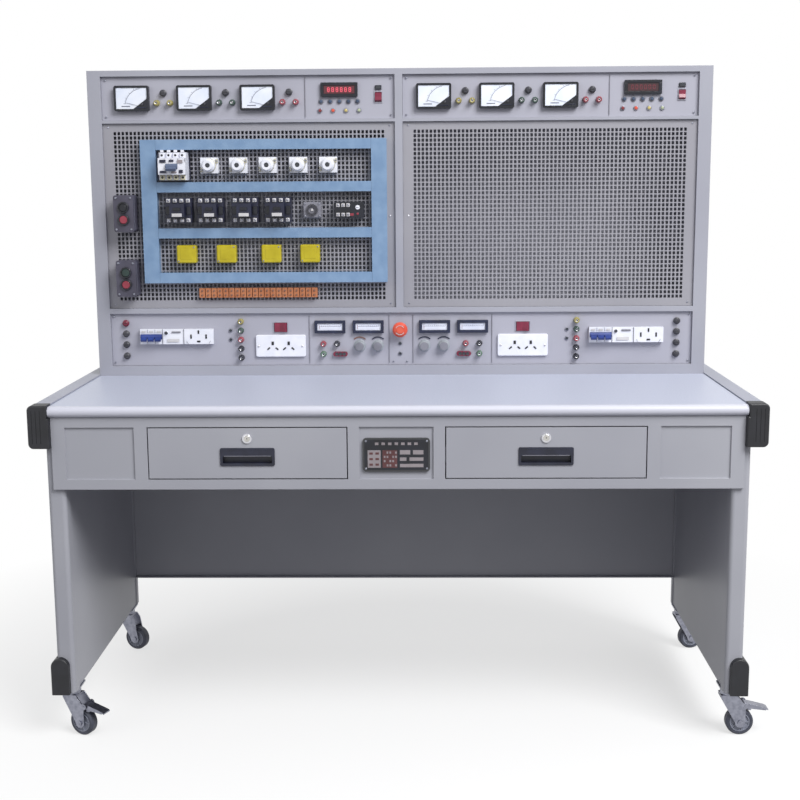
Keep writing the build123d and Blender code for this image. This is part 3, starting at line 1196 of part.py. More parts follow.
def write_board_devices():
    save("wiring_ducts", *wiring_ducts())
    save("screw_fuses", *[screw_fuse(x) for x in SCREW_FUSE_X])
    save("contactors", *[contactor(x) for x in CONTACTOR_X])
    save("relays", timer_base(), thermal_relay(), *[relay_box(x) for x in BOX_X])
    save("terminal_strip", terminal_strip())
    save("button_stations", *[button_station(z) for z in STATION_Z])


def write_controls():
    upper, lower = STATION_Z
    save("upper_station_black_button", station_button(upper, 1))
    save("upper_station_red_button", station_button(upper, -1))
    save("lower_station_green_button", station_button(lower, 1))
    save("lower_station_red_button", station_button(lower, -1))
    save("estop_button", estop_button())
    save("rcd_lever", lever(RCD_X, RCD_Z, RCD_LEVER, MESH_Y - RCD_DEPTH - RCD_NOSE_PROUD, 1))
    for number, x in enumerate(KNOB_X, 1):
        save(f"regulator_knob_{number}", regulator_knob(x))
    for place, name in enumerate(SIDES):
        save(f"breaker_lever_{name}",
             lever(BREAKER_LEFT_X[place] + BREAKER_WIDTH / 2, BREAKER_Z, BREAKER_WIDTH - 4,
                   PANEL_Y - NOSE_PROUD, 3))
        save(f"upper_rocker_{name}",
             rocker(upper_rocker_places()[place], UPPER_ROCKER_Z, *UPPER_ROCKER, True))
        save(f"lower_rocker_{name}", rocker(OUTLET_X[place], LOWER_ROCKER_Z, *LOWER_ROCKER, False))


def main():
    os.makedirs("parts", exist_ok=True)
    write_desk()
    write_casters()
    write_console()
    write_instruments()
    write_board_devices()
    write_controls()


main()
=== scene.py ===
# %% [markdown]
# # An electrician training bench
# The bench is a steel desk on casters with a console of instruments on it. Its solids come
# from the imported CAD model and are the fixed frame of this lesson. We give them their real
# finishes, and build in mesh code what the solids only stand for: the perforated boards,
# dials, sockets, lamps and labels. The first cell loads the frame and keeps its size.

# %% Load the frame
from itertools import product
from math import cos, pi, radians, sin

import bmesh
import bpy
from mathutils import Matrix, Vector


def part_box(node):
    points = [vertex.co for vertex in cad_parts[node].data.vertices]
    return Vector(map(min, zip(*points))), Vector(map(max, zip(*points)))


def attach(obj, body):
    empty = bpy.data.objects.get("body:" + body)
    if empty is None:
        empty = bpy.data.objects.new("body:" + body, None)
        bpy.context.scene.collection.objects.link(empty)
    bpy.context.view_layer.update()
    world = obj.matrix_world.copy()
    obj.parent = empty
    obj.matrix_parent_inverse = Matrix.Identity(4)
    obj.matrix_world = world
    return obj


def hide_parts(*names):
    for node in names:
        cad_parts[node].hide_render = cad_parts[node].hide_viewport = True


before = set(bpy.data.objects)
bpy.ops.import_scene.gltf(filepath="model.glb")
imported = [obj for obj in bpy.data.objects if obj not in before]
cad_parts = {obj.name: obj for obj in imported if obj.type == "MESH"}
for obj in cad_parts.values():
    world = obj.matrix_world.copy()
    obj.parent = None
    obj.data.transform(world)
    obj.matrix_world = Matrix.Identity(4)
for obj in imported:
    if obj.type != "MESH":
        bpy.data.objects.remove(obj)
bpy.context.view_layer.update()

bench = bpy.context.scene

# %% [markdown]
# ## Measures
# A workshop drawing of the bench counts millimetres from its middle, from the face of its
# drawers and from the floor. The frame's zero is the middle of the footprint instead. The
# solids tell how far the two are apart, and one function turns the drawing's numbers to the
# frame's metres, so every size below can be read as it would be measured on the real bench.

# %% From the drawing to the frame
MM = 0.001
console_low, console_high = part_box("console_frame")
MIDDLE_X = -(console_low[0] + console_high[0]) / 2 / MM
MIDDLE_Y = -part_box("drawer_cabinet")[0][1] / MM
PANEL_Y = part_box("upper_panels")[0][1] / MM + MIDDLE_Y


def at(x, y, z):
    return Vector((x - MIDDLE_X, y - MIDDLE_Y, z)) * MM


print("the instrument panels lie", round(PANEL_Y, 2), "mm behind the drawers")

# %% [markdown]
# ## Colour and nodes
# Colours are written as the hex numbers that a painter's chart gives, which are sRGB.
# Shaders work with linear light, so one function converts them. A second one adds a node
# with its settings, its links and, for a ramp, its stops: every finish is made with these.

# %% Colour and node helpers
def linear(code):
    parts = [int(code[n:n + 2], 16) / 255 for n in (1, 3, 5)]
    return tuple(c / 12.92 if c < 0.04045 else ((c + 0.055) / 1.055) ** 2.4 for c in parts) + (1.0,)


def add_node(finish, kind, inputs=None, stops=(), **settings):
    node = finish.node_tree.nodes.new("ShaderNode" + kind)
    for name, value in settings.items():
        setattr(node, name, value)
    for name, value in (inputs or {}).items():
        if isinstance(value, bpy.types.NodeSocket):
            finish.node_tree.links.new(value, node.inputs[name])
        else:
            node.inputs[name].default_value = value
    for spot, (position, code) in zip(node.color_ramp.elements if stops else (), stops):
        spot.position = position
        spot.color = linear(code)
    return node


def start_finish(name, code, roughness, metallic=0.0, coat=0.0):
    finish = bpy.data.materials.new(name)
    finish.use_nodes = True
    surface = finish.node_tree.nodes["Principled BSDF"]
    surface.inputs["Base Color"].default_value = linear(code)
    surface.inputs["Roughness"].default_value = roughness
    surface.inputs["Metallic"].default_value = metallic
    surface.inputs["Coat Weight"].default_value = coat
    return finish, surface


def mottle(finish, surface, size_mm, low, high, detail=3.0):
    """Varies the colour between two tones, in patches of a real size."""
    spot = add_node(finish, "TexCoord")
    patches = add_node(finish, "TexNoise", {"Vector": spot.outputs["Object"], "Scale": 1000 / size_mm,
                                            "Detail": detail})
    tones = add_node(finish, "ValToRGB", {"Fac": patches.outputs["Fac"]}, stops=((0.35, low), (0.65, high)))
    finish.node_tree.links.new(tones.outputs["Color"], surface.inputs["Base Color"])
    return tones


def pebble(finish, surface, size_mm, depth_mm, soft_edge_mm=0.0):
    """Adds the fine unevenness of a sprayed or moulded skin, and softens sharp edges."""
    spot = add_node(finish, "TexCoord")
    grains = add_node(finish, "TexNoise", {"Vector": spot.outputs["Object"], "Scale": 1000 / size_mm,
                                           "Detail": 2.0})
    skin = add_node(finish, "Bump", {"Height": grains.outputs["Fac"], "Strength": 0.5,
                                     "Distance": depth_mm * MM})
    if soft_edge_mm:
        edge = add_node(finish, "Bevel", {"Radius": soft_edge_mm * MM}, samples=4)
        finish.node_tree.links.new(edge.outputs["Normal"], skin.inputs["Normal"])
    finish.node_tree.links.new(skin.outputs["Normal"], surface.inputs["Normal"])


print("white is", linear("#FFFFFF")[:3])

# %% [markdown]
# ## Powder coat
# The frame, the panels and the drawers are sheet steel with a baked polyester powder coat
# in a warm, slightly violet grey. Such a coat is semi-gloss, a dielectric of IOR 1.5, with
# an orange-peel waviness of two or three millimetres. Real peel is a few hundredths deep:
# it is drawn a little coarser here, so that it shows from three metres.

# %% Powder-coated steel
def powder_coat(name, low, high, roughness=0.42):
    finish, surface = start_finish(name, high, roughness)
    mottle(finish, surface, 420, low, high)
    pebble(finish, surface, 2.6, 0.12, soft_edge_mm=1.6)
    return finish


frame_coat = powder_coat("powder_coated_frame", "#A0A1AA", "#A9AAB2")
console_coat = powder_coat("powder_coated_console", "#9B9CA7", "#A5A6B0")
panel_coat = powder_coat("powder_coated_panels", "#A3A3AF", "#ACACB8")
beam_coat = powder_coat("powder_coated_beams", "#8C8F9E", "#9699A8", roughness=0.36)
mesh_coat = powder_coat("powder_coated_boards", "#93929A", "#9C9BA2")
print("five coats, from one spray shop")

# %% [markdown]
# ## The laminate top
# The desk top is chipboard under high-pressure laminate: melamine resin over a printed
# paper, pale lavender-blue, with a satin skin. Its front edge is a white bullnose.
# Both are one solid's node here, so the finish changes colour where the edge strip starts,
# by its place on the object, and not by where anybody stands.

# %% Laminate and bullnose
SPECKS_A_METRE, STRIP_DEPTH = 260.0, 10
laminate, surface = start_finish("melamine_laminate", "#B6BACA", 0.44)
spot = add_node(laminate, "TexCoord")
split = add_node(laminate, "SeparateXYZ", {"Vector": spot.outputs["Object"]})
strip = add_node(laminate, "Math", {0: split.outputs["Y"], 1: at(0, STRIP_DEPTH, 0).y}, operation="LESS_THAN")
specks = add_node(laminate, "TexNoise", {"Vector": spot.outputs["Object"], "Scale": SPECKS_A_METRE,
                                         "Detail": 4.0})
tones = add_node(laminate, "ValToRGB", {"Fac": specks.outputs["Fac"]},
                 stops=((0.3, "#B2B7C9"), (0.7, "#BEC2D1")))
shade = add_node(laminate, "Mix", {"Factor": strip.outputs["Value"]}, data_type="RGBA")
laminate.node_tree.links.new(tones.outputs["Color"], shade.inputs[6])
shade.inputs[7].default_value = linear("#C8C9D5")
laminate.node_tree.links.new(shade.outputs[2], surface.inputs["Base Color"])
pebble(laminate, surface, 3.0, 0.03, soft_edge_mm=1.0)
print("the laminate's specks are about", round(1000 / SPECKS_A_METRE, 1), "mm apart")

# %% [markdown]
# ## Moulded plastics
# Corner caps, pulls, knobs, breakers and sockets are injection mouldings: ABS or polyamide,
# IOR near 1.5, in two skins. A spark-eroded mould gives a matt skin with a fine grain, and
# a polished one gives gloss. One function makes both, and the grain's depth tells them apart.

# %% Plastics
def moulded(name, code, other, roughness, grain_mm=0.03):
    finish, surface = start_finish(name, code, roughness)
    mottle(finish, surface, 30, code, other)
    pebble(finish, surface, 1.4, grain_mm, soft_edge_mm=0.7)
    return finish


black_abs = moulded("black_abs_grained", "#131419", "#1D1E24", 0.46, grain_mm=0.06)
gloss_black = moulded("black_instrument_plastic", "#0E1018", "#171A26", 0.26)
pull_black = moulded("navy_black_pull", "#181A2A", "#222538", 0.34)
navy_frame = moulded("navy_meter_frame", "#141A34", "#1E2542", 0.26)
white_plastic = moulded("white_polyamide", "#E2E4EE", "#ECEDF5", 0.30)
cream_plastic = moulded("cream_terminal_cover", "#B9B49A", "#C7C2AA", 0.38)
yellow_plastic = moulded("yellow_abs", "#B0A012", "#C0B122", 0.30)
orange_plastic = moulded("orange_polyamide", "#AE6A45", "#BA7852", 0.42)
duct_pvc = moulded("blue_pvc_duct", "#738FB0", "#809BBA", 0.38)
station_plastic = moulded("slate_station_box", "#403E4C", "#4C4A59", 0.42, grain_mm=0.08)
knob_plastic = moulded("grey_knob_plastic", "#8E949C", "#9FA5AC", 0.40)
relay_grey = moulded("grey_relay_base", "#74747E", "#84848E", 0.40)
# The same navy also paints the shadow around the main switch.
navy_plastic_and_shadow = moulded("navy_contactor_plastic_and_painted_shadow", "#12142A", "#1C2038", 0.34)
lever_blue = moulded("blue_breaker_lever", "#26387A", "#31458C", 0.30)
lever_slate = moulded("slate_switch_lever", "#4A5670", "#59657F", 0.32)
stop_red = moulded("orange_red_stop", "#D24A34", "#E05A42", 0.28)
red_plastic = moulded("dark_red_button", "#842C3A", "#943848", 0.28)
dark_red = moulded("crimson_rocker", "#6E1C34", "#822842", 0.24)
green_plastic = moulded("green_button_plastic", "#1C2C2A", "#263A36", 0.30)
post_yellow = moulded("yellow_socket_shroud", "#9C9050", "#AAA062", 0.34)
post_green = moulded("green_socket_shroud", "#33483F", "#41564D", 0.34)
post_red = moulded("red_socket_shroud", "#93404A", "#A4505A", 0.34)
post_black = moulded("black_socket_shroud", "#1B1C24", "#292A33", 0.32)
post_olive = moulded("grey_green_socket_shroud", "#55705F", "#66806E", 0.34)
fuse_grey = moulded("dark_fuse_cap", "#34343C", "#424249", 0.34)
screw_brown = moulded("shaded_clamp_screw", "#7A5444", "#866050", 0.45)
key_blue = moulded("blue_grey_key", "#38455C", "#48566E", 0.34)
slot_dark = moulded("shadowed_slot", "#101014", "#18181D", 0.60)
label_pale = moulded("pale_printed_label", "#C4C2C4", "#D0CED0", 0.50)
label_grey = moulded("grey_printed_field", "#8C8488", "#989094", 0.50)
label_rust = moulded("rust_printed_field", "#4E2C2E", "#5E383A", 0.50)
# The same grey also paints the highlight along the drawer pulls' lip.
seam_grey_and_highlight = moulded("engraved_lines_and_painted_highlight", "#75757F", "#7F7F89", 0.55)
print("moulded finishes made:", len([m for m in bpy.data.materials if "Bump" in m.node_tree.nodes]))

# %% [markdown]
# ## Plated metals
# Casters are zinc on pressed steel, dulled and hazy from handling. Cam locks and
# screws are nickel-chrome, which mirrors the room. Both are metals, so the base colour is
# the colour of the reflection, and the default IOR stays.

# %% Metals
def plated(name, code, other, roughness):
    finish, surface = start_finish(name, code, roughness, metallic=1.0)
    mottle(finish, surface, 12, code, other, detail=5.0)
    pebble(finish, surface, 0.9, 0.02, soft_edge_mm=0.5)
    return finish


zinc = plated("bright_zinc_plate", "#80828E", "#9A9CA8", 0.34)
chrome = plated("nickel_chrome_plate", "#C9C9CF", "#DADADF", 0.14)
nickel = plated("satin_nickel_plug", "#BDBBB6", "#CCCAC6", 0.32)
tyre, surface = start_finish("grey_polyurethane_tyre", "#3E414F", 0.52)
mottle(tyre, surface, 18, "#363945", "#4A4D5B")
pebble(tyre, surface, 1.6, 0.10, soft_edge_mm=0.6)
hub_grey = moulded("pale_caster_hub", "#868A98", "#9498A6", 0.40)
print("metals:", zinc.name, chrome.name, nickel.name)

# %% [markdown]
# ## Printed cards and lit displays
# A dial is a printed white card behind a clear cover: a coat on the card's shader gives
# the cover's gloss without a pane that would cast a false shadow. A lit display is dark
# red film with brighter digits behind it, so its glow is set on the shader itself.

# %% Cards, films and lamps
def printed_card(name, code, other):
    finish, surface = start_finish(name, code, 0.45, coat=0.8)
    mottle(finish, surface, 40, code, other)
    return finish


def glowing(name, code, strength, body=None):
    finish, surface = start_finish(name, body or code, 0.22, coat=0.5)
    surface.inputs["Emission Color"].default_value = linear(code)
    surface.inputs["Emission Strength"].default_value = strength
    pebble(finish, surface, 1.2, 0.02)
    return finish


dial_card = printed_card("white_dial_card", "#DFE6F6", "#ECF0FA")
slim_card = printed_card("white_slim_card", "#D6DAEC", "#E6E9F6")
ink = printed_card("printed_ink", "#4A4E62", "#565A6E")
ink_brown = printed_card("brown_scale_ink", "#6B4438", "#7A5044")
plate_black = printed_card("black_enamelled_plate", "#14151A", "#1E2026")
film_red = glowing("lit_display_film", "#701C2A", 0.30, "#40121A")
film_dim = glowing("unlit_display_film", "#4C1822", 0.12, "#321018")
digit_red = glowing("lit_display_digit", "#E85468", 0.8)
digit_dim = glowing("unlit_display_digit", "#782A38", 0.2)
# This finish also makes the slim meters' needles glow faintly, a painted glow.
red_indicator_and_needle_glow = glowing("dark_red_indicator_and_painted_needle_glow", "#6A1C20", 0.1, "#7A2A2C")
# This orange finish also makes the stop button's top glow, as a painted highlight.
orange_light_and_stop_glow = glowing("orange_indicator_and_painted_stop_glow", "#C4442C", 0.25, "#C85038")
lamp_yellow = glowing("yellow_lamp", "#B8A860", 0.15, "#C0B070")
lamp_pale = glowing("pale_green_lamp", "#A0A888", 0.1, "#A8B094")
# The smoked glass glows very faintly; on the fuses' sight glasses, which hold no lamp, that glow is painted.
sight_glass = glowing("smoked_sight_glass", "#22262C", 0.02, "#2A2E36")
print("lit films:", film_red.name, film_dim.name)

# %% [markdown]
# ## Shapes
# A piece could be made with Blender's own cubes and modifiers, one object for each. Here
# are hundreds of small shapes, so each is only a list of corners and faces in drawing
# millimetres, and a whole group becomes one mesh. Real parts have no knife edges, so a box
# is a soft block: six flat sides, twelve narrow strips along the edges and eight corners.

# %% Soft blocks
CORNERS = tuple(product((-1, 1), repeat=2))


def around(middle, width):
    return (middle - width / 2, middle + width / 2)


def corner_at(axis, side, *others):
    """The 0 or 1 along each axis of a box's corner on one side of an axis."""
    return others[:axis] + (side,) + others[axis:]


def soft_block(x, y, z, finish, edge=0.6):
    spans = [tuple(sorted(span)) for span in (x, y, z)]
    edge = min([edge] + [(high - low) * 0.3 for low, high in spans])
    corners, number = [], {}
    for corner in product((0, 1), repeat=3):
        for axis in range(3):
            number[corner, axis] = len(corners)
            corners.append([spans[a][corner[a]] + (0 if a == axis else edge * (1 - 2 * corner[a]))
                            for a in range(3)])
    faces = [[number[corner, axis] for axis in range(3)] for corner in product((0, 1), repeat=3)]
    for axis in range(3):
        b, c = [a for a in range(3) if a != axis]
        for side in (0, 1):
            ring = [corner_at(axis, side, sb, sc) for sb, sc in ((0, 0), (1, 0), (1, 1), (0, 1))]
            faces.append([number[corner, axis] for corner in ring])
        for sb, sc in product((0, 1), repeat=2):
            low, high = [corner_at(axis, side, sb, sc) for side in (0, 1)]
            faces.append([number[low, b], number[high, b], number[high, c], number[low, c]])
    return corners, faces, finish


def proud(front, back):
    """The y of a shape's front and back, in mm before the panels' face."""
    return (PANEL_Y - front, PANEL_Y - back)


def block_at(x, z, wide, high, y, finish, edge=0.6):
    """A soft block about a point of the panel, from its front to its back in y."""
    return soft_block(around(x, wide), y, around(z, high), finish, edge)


print("a soft block has", len(soft_block((0, 1), (0, 1), (0, 1), zinc)[1]), "faces")

# %% [markdown]
# Screws, sockets, caps and hubs are round, so they are turned from a profile, as on a
# lathe. A point of the profile on the axis closes the shape with a fan of triangles.

# %% Turned shapes
ON_AXIS = 0.01


def turned(profile, x, z, finish, steps=20, face_y=PANEL_Y):
    """A body of (radius, height) rings about an axis that points at the user."""
    corners, faces, rings = [], [], []
    for radius, height in profile:
        if radius < ON_AXIS:
            rings.append([len(corners)] * steps)
            corners.append([x, face_y - height, z])
        else:
            rings.append(list(range(len(corners), len(corners) + steps)))
            turns = [2 * pi * n / steps for n in range(steps)]
            corners += [[x + radius * cos(t), face_y - height, z + radius * sin(t)] for t in turns]
    for low, high in zip(rings, rings[1:]):
        for n in range(steps):
            face = []
            for corner in (low[n], low[n - 1], high[n - 1], high[n]):
                if corner not in face:
                    face.append(corner)
            if len(face) > 2:
                faces.append(face)
    return corners, faces, finish


print("a screw's head has", len(turned([(0, 1.4), (1.4, 1.4), (2.5, 0)], 0, 0, zinc, 12)[1]), "faces")

# %% [markdown]
# Cards, scales, pointers and spokes are flat, so they are cut from an outline and get a
# thickness. Four small functions draw the outlines, and `card` cuts them.

# %% Flat shapes
def card(outline, front_y, thick, finish):
    """A flat cut sheet: an outline of (x, z) corners, and its thickness behind the front."""
    count = len(outline)
    corners = [[x, front_y, z] for x, z in outline] + [[x, front_y + thick, z] for x, z in outline]
    faces = [list(range(count)), list(range(2 * count - 1, count - 1, -1))]
    faces += [[n, (n + 1) % count, (n + 1) % count + count, n + count] for n in range(count)]
    return corners, faces, finish


def rounded(x, z, width, height, radius, steps=5):
    """The outline of a rectangle with round corners."""
    outline = []
    for quarter, (sx, sz) in enumerate(((1, 1), (-1, 1), (-1, -1), (1, -1))):
        for n in range(steps + 1):
            turn = (quarter + n / steps) * pi / 2
            outline.append((x + sx * (width / 2 - radius) + radius * cos(turn),
                            z + sz * (height / 2 - radius) + radius * sin(turn)))
    return outline


def arc(x, z, inner, outer, start, end, steps=14):
    """The outline of a curved band, its angles in degrees from the right."""
    turns = [radians(start + (end - start) * n / steps) for n in range(steps + 1)]
    return ([(x + outer * cos(t), z + outer * sin(t)) for t in turns]
            + [(x + inner * cos(t), z + inner * sin(t)) for t in reversed(turns)])


def bar(x0, z0, x1, z1, width):
    """The outline of a straight stroke."""
    along = Vector((x1 - x0, z1 - z0)).normalized() * width / 2
    return [(x0 - along.y, z0 + along.x), (x0 + along.y, z0 - along.x),
            (x1 + along.y, z1 - along.x), (x1 - along.y, z1 + along.x)]


def ray(x, z, turn, inner, outer, width):
    """The outline of a straight stroke on a line through (x, z), between two distances."""
    across, up = cos(turn), sin(turn)
    return bar(x + inner * across, z + inner * up, x + outer * across, z + outer * up, width)


print("a dial's arc has", len(arc(0, 0, 46.5, 47.3, 100, 170)), "corners")

# %% [markdown]
# `dress` joins shapes to one piece, puts each on its finish, rounds its shading and lets
# it ride on the CAD body that carries it. `coat_node` gives a finish to a CAD solid whose
# shape is right already.

# %% Dress and coat
SHARP_FROM = 32     # degrees between two faces from which their edge shows


def dress(name, body, shapes, stands_for=()):
    mesh = bpy.data.meshes.new(name)
    finishes = []
    corners, faces, numbers = [], [], []
    for points, rings, finish in shapes:
        if finish not in finishes:
            finishes.append(finish)
        start = len(corners)
        corners += [at(*p) for p in points]
        faces += [[start + n for n in ring] for ring in rings]
        numbers += [finishes.index(finish)] * len(rings)
    mesh.from_pydata(corners, [], faces)
    for finish in finishes:
        mesh.materials.append(finish)
    mesh.polygons.foreach_set("material_index", numbers)
    work = bmesh.new()
    work.from_mesh(mesh)
    bmesh.ops.recalc_face_normals(work, faces=work.faces)
    work.to_mesh(mesh)
    work.free()
    mesh.shade_smooth()
    mesh.set_sharp_from_angle(angle=radians(SHARP_FROM))
    piece = bpy.data.objects.new(name, mesh)
    bench.collection.objects.link(piece)
    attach(piece, body)
    if stands_for:
        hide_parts(*stands_for)
    print(f"{name}: {len(faces)} faces, {len(finishes)} finishes")


def coat_node(finish, *names):
    for name in names:
        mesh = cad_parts[name].data
        mesh.materials.clear()
        mesh.materials.append(finish)


print(len(bpy.data.materials), "finishes are ready")

# %% [markdown]
# ## The desk's own solids
# Legs, beams, drawers and the cabinet are folded steel and their solids are right, so they
# keep their shape and get their finish. The moulded caps get grained black ABS. Each
# caster stands at an angle of its own, in degrees, as casters do after a bench was moved.

# %% Coat the desk
SIDES = {"left": -1, "right": 1}
WHEELS = {"front_left": -22.0, "front_right": 0.0, "rear_left": -18.0, "rear_right": 8.0}
coat_node(frame_coat, "side_leg_left", "side_leg_right", "drawer_cabinet", "modesty_panel")
coat_node(beam_coat, "side_beams")
coat_node(laminate, "table_top")
coat_node(black_abs, "frame_caps")
coat_node(zinc, "drawer_runners", "caster_plates")
for side in SIDES:
    coat_node(frame_coat, f"drawer_{side}_front", f"drawer_{side}_tray")
    coat_node(pull_black, f"drawer_{side}_pull")
    coat_node(chrome, f"drawer_{side}_lock")
for name in WHEELS:
    coat_node(zinc, f"caster_fork_{name}")
    coat_node(tyre, f"caster_wheel_{name}")
for side in SIDES:
    coat_node(zinc, f"brake_pedal_front_{side}")
print("desk coated")

# %% [markdown]
# ## The nameplate
# Between the drawers the bench carries an enamelled plate: a rounded frame, four screws
# and blank printed fields. These are a row of small labels, a grey table with rusty cells,
# a dotted block and grey boxes, each a thin soft block that lies on the enamel.

# %% Blank nameplate
PLATE_Z, PLATE_SCREW_X, PLATE_SCREW_Z = 701.0, 70, 32
PLATE_THICK, POCKET_DEPTH = 5.0, 4.0
PLATE_FRONT = POCKET_DEPTH - PLATE_THICK
fields = [card(rounded(0, PLATE_Z, 155, 79, 9), PLATE_FRONT, PLATE_THICK, plate_black),
          card(rounded(0, PLATE_Z, 147, 71, 6), PLATE_FRONT - 0.6, 0.6, gloss_black)]


def printed_field(x, z, wide, high, finish, height=0.9):
    return soft_block((x, x + wide), (PLATE_FRONT - height, PLATE_FRONT - 0.5),
                      (PLATE_Z + z, PLATE_Z + z + high), finish, 0.1)


fields += [printed_field(x - 4, 23, 8, 6, label_grey) for x in range(-45, 50, 15)]
fields.append(printed_field(-66, -30, 30, 41, label_grey))
fields += [printed_field(x, z, 8, 5, label_rust, 1.2) for x in (-62, -48) for z in (-25, -12, 1)]
fields.append(printed_field(-32, -30, 34, 41, label_rust))
fields += [printed_field(-29 + 6.5 * (n % 5), -27 + 10 * (n // 5), 4, 5, label_grey, 1.2)
           for n in range(20) if n % 3]
fields += [printed_field(x, z, wide, high, label_grey)
           for x, wide, z, high in ((8, 24, 1, 10), (38, 24, 1, 10), (8, 15, -14, 8),
                                    (30, 32, -14, 8), (8, 54, -29, 8))]
plate_screw = [(0, 1.8), (1.6, 1.8), (2.4, 1.0), (2.4, 0.0)]
fields += [turned(plate_screw, sx * PLATE_SCREW_X, PLATE_Z + sz * PLATE_SCREW_Z, zinc, 12, PLATE_FRONT)
           for sx, sz in CORNERS]
dress("nameplate", "bench", fields)

# %% [markdown]
# ## Drawer hardware
# The pulls are recessed cups, and a lip to hook the fingers on covers their upper half. A
# thin light grey strip along the lip's lower edge is a painted highlight, where the real
# moulding catches the light.
# Each lock gets its nickelled ring and the plug's face around the keyway.

# %% Pull ridges and lock faces
DRAWER_X, LOCK_Z = 342.75, 740
for side, sign in SIDES.items():
    x = sign * DRAWER_X
    # The first strip, light grey on the black pull, is a painted highlight on the lip's edge.
    ridge_and_highlight = [soft_block(around(x, 108), (-3.3, -2.0), (698.3, 699.9), seam_grey_and_highlight, 0.4),
              soft_block(around(x, 112), (-3.1, -2.2), (713.2, 714.0), pull_black, 0.3)]
    dress(f"pull_ridge_and_painted_highlight_{side}", f"drawer_{side}", ridge_and_highlight)
    face = [turned([(7.2, 3.4), (7.8, 3.4), (8.4, 3.0), (8.4, 2.6)], x, LOCK_Z, chrome, face_y=0),
            turned([(1.4, 3.3), (7.2, 3.3), (7.2, 2.7)], x, LOCK_Z, nickel, face_y=0),
            block_at(x, LOCK_Z, 1.8, 8.0, (-3.2, -2.0), slot_dark, 0.1)]
    dress(f"lock_face_{side}", f"drawer_{side}_lock", face)

# %% [markdown]
# ## Casters
# Each wheel has a pale polyamide hub with spokes inside a dark grey tyre. The hub is turned
# about the wheel's own axle, so it is drawn at the wheel's place with the fork's rest
# angle, and rides on the wheel: it spins with it.

# %% Wheel hubs
CASTER_X, CASTER_Y = 791.0, {"front": 60.0, "rear": 645.0}
TRAIL, AXLE_Z = 28, 33
for name, turn in WHEELS.items():
    end, side = name.split("_")
    place = Vector((SIDES[side] * CASTER_X - MIDDLE_X, CASTER_Y[end] - MIDDLE_Y, 0))
    stand = Matrix.Translation(place * MM) @ Matrix.Rotation(radians(turn), 4, "Z")
    hub = []
    for face in (-1, 1):
        hub.append(turned([(8.3, face * 12.3), (8.3, face * 9.4), (21.2, face * 9.4), (21.6, face * 12.3),
                           (23.4, face * 12.4), (24.0, face * 11.8)], TRAIL, AXLE_Z, hub_grey, face_y=0))
        spoke_y = -11.6 if face > 0 else 9.0
        hub += [card(ray(TRAIL, AXLE_Z, 2 * pi * spoke / 5, 8, 21.4, 3.6), spoke_y, 2.6, hub_grey)
                for spoke in range(5)]
    for corners, rings, finish in hub:
        for corner in corners:
            corner[:] = (stand @ (Vector(corner) * MM)) / MM + Vector((MIDDLE_X, MIDDLE_Y, 0))
    dress(f"caster_hub_{name}", f"caster_wheel_{name}", hub)

# %% [markdown]
# ## The console's sheet metal
# The face frame, the housing and the pierced panels keep their solids. Thin engraved lines
# part the panels into fields, and plated screws hold their edges.

# %% Coat the console
coat_node(console_coat, "console_frame", "console_shell")
coat_node(panel_coat, "upper_panels", "lower_panel")
seams = [(x, (846, 974)) for x in (-240, -29, 34, 242)] + [(x, (1484, 1586)) for x in (-240, 539)]
trim = [soft_block(around(x, 1.4), proud(0.5, -0.5), z, seam_grey_and_highlight, 0.2) for x, z in seams]
screws = [(sx * x, z) for sx in (-1, 1) for x in (20, 755) for z in (1489, 1581)]
screws += [(sx * 758, z) for sx in (-1, 1) for z in (850, 972)] + [(sx * 18, 850) for sx in (-1, 1)]
screws += [(sx * x, z) for sx in (-1, 1) for x in (24, 752) for z in (1004, 1462)]
trim += [turned([(0, 1.4), (1.4, 1.4), (2.3, 0.8), (2.5, 0.0)], x, z, zinc, 12) for x, z in screws]
trim += [turned([(0, 1.6), (1.8, 1.6), (2.8, 0.9), (3.0, 0.0)], sx * 24, 1232, chrome, 12)
         for sx in (-1, 1)]
dress("panel_seams_and_screws", "bench", trim)

# %% [markdown]
# ## Perforated boards
# The mounting boards are 2 mm sheet, punched with upright slots of 6.4 x 8 mm every 10.3 mm
# across and 11.3 mm up, over 704 x 439 mm. The CAD keeps a coarser pattern. Here every
# slot is real: corners on the lines of a grid, faces where the steel is, none in the slots.

# %% Punch the slots
COLUMNS, FIELD_WIDTH, SLOT_WIDTH = 68, 704.0, 6.4
ROWS, FIELD_HEIGHT, SLOT_HEIGHT = 39, 439.0, 8.0
SHEET, FLANGE = 2, 12


def grid_lines(span, count, field, slot):
    start, end = around(sum(span) / 2, field)
    pitch = (end - start) / count
    lines = [span[0]]
    for n in range(count):
        lines += around(start + (n + 0.5) * pitch, slot)
    return lines + [span[1]]


def punched_board(x, z):
    lines_x = grid_lines(x, COLUMNS, FIELD_WIDTH, SLOT_WIDTH)
    lines_z = grid_lines(z, ROWS, FIELD_HEIGHT, SLOT_HEIGHT)
    wide, high = len(lines_x), len(lines_z)
    corners = [[u, y, w] for y in (PANEL_Y, PANEL_Y + SHEET) for w in lines_z for u in lines_x]
    back = wide * high
    faces = []
    for j, i in product(range(high - 1), range(wide - 1)):
        a, b, c, d = j * wide + i, j * wide + i + 1, (j + 1) * wide + i + 1, (j + 1) * wide + i
        if i % 2 and j % 2:
            faces += [[p, q, q + back, p + back] for p, q in ((b, a), (c, b), (d, c), (a, d))]
        else:
            faces += [[a, b, c, d], [d + back, c + back, b + back, a + back]]
    rim = [j * wide for j in range(high)], [j * wide + wide - 1 for j in range(high)]
    for edge in (rim[0], rim[1], list(range(wide)), list(range((high - 1) * wide, high * wide))):
        faces += [[p, q, q + back, p + back] for p, q in zip(edge, edge[1:])]
    return corners, faces, mesh_coat


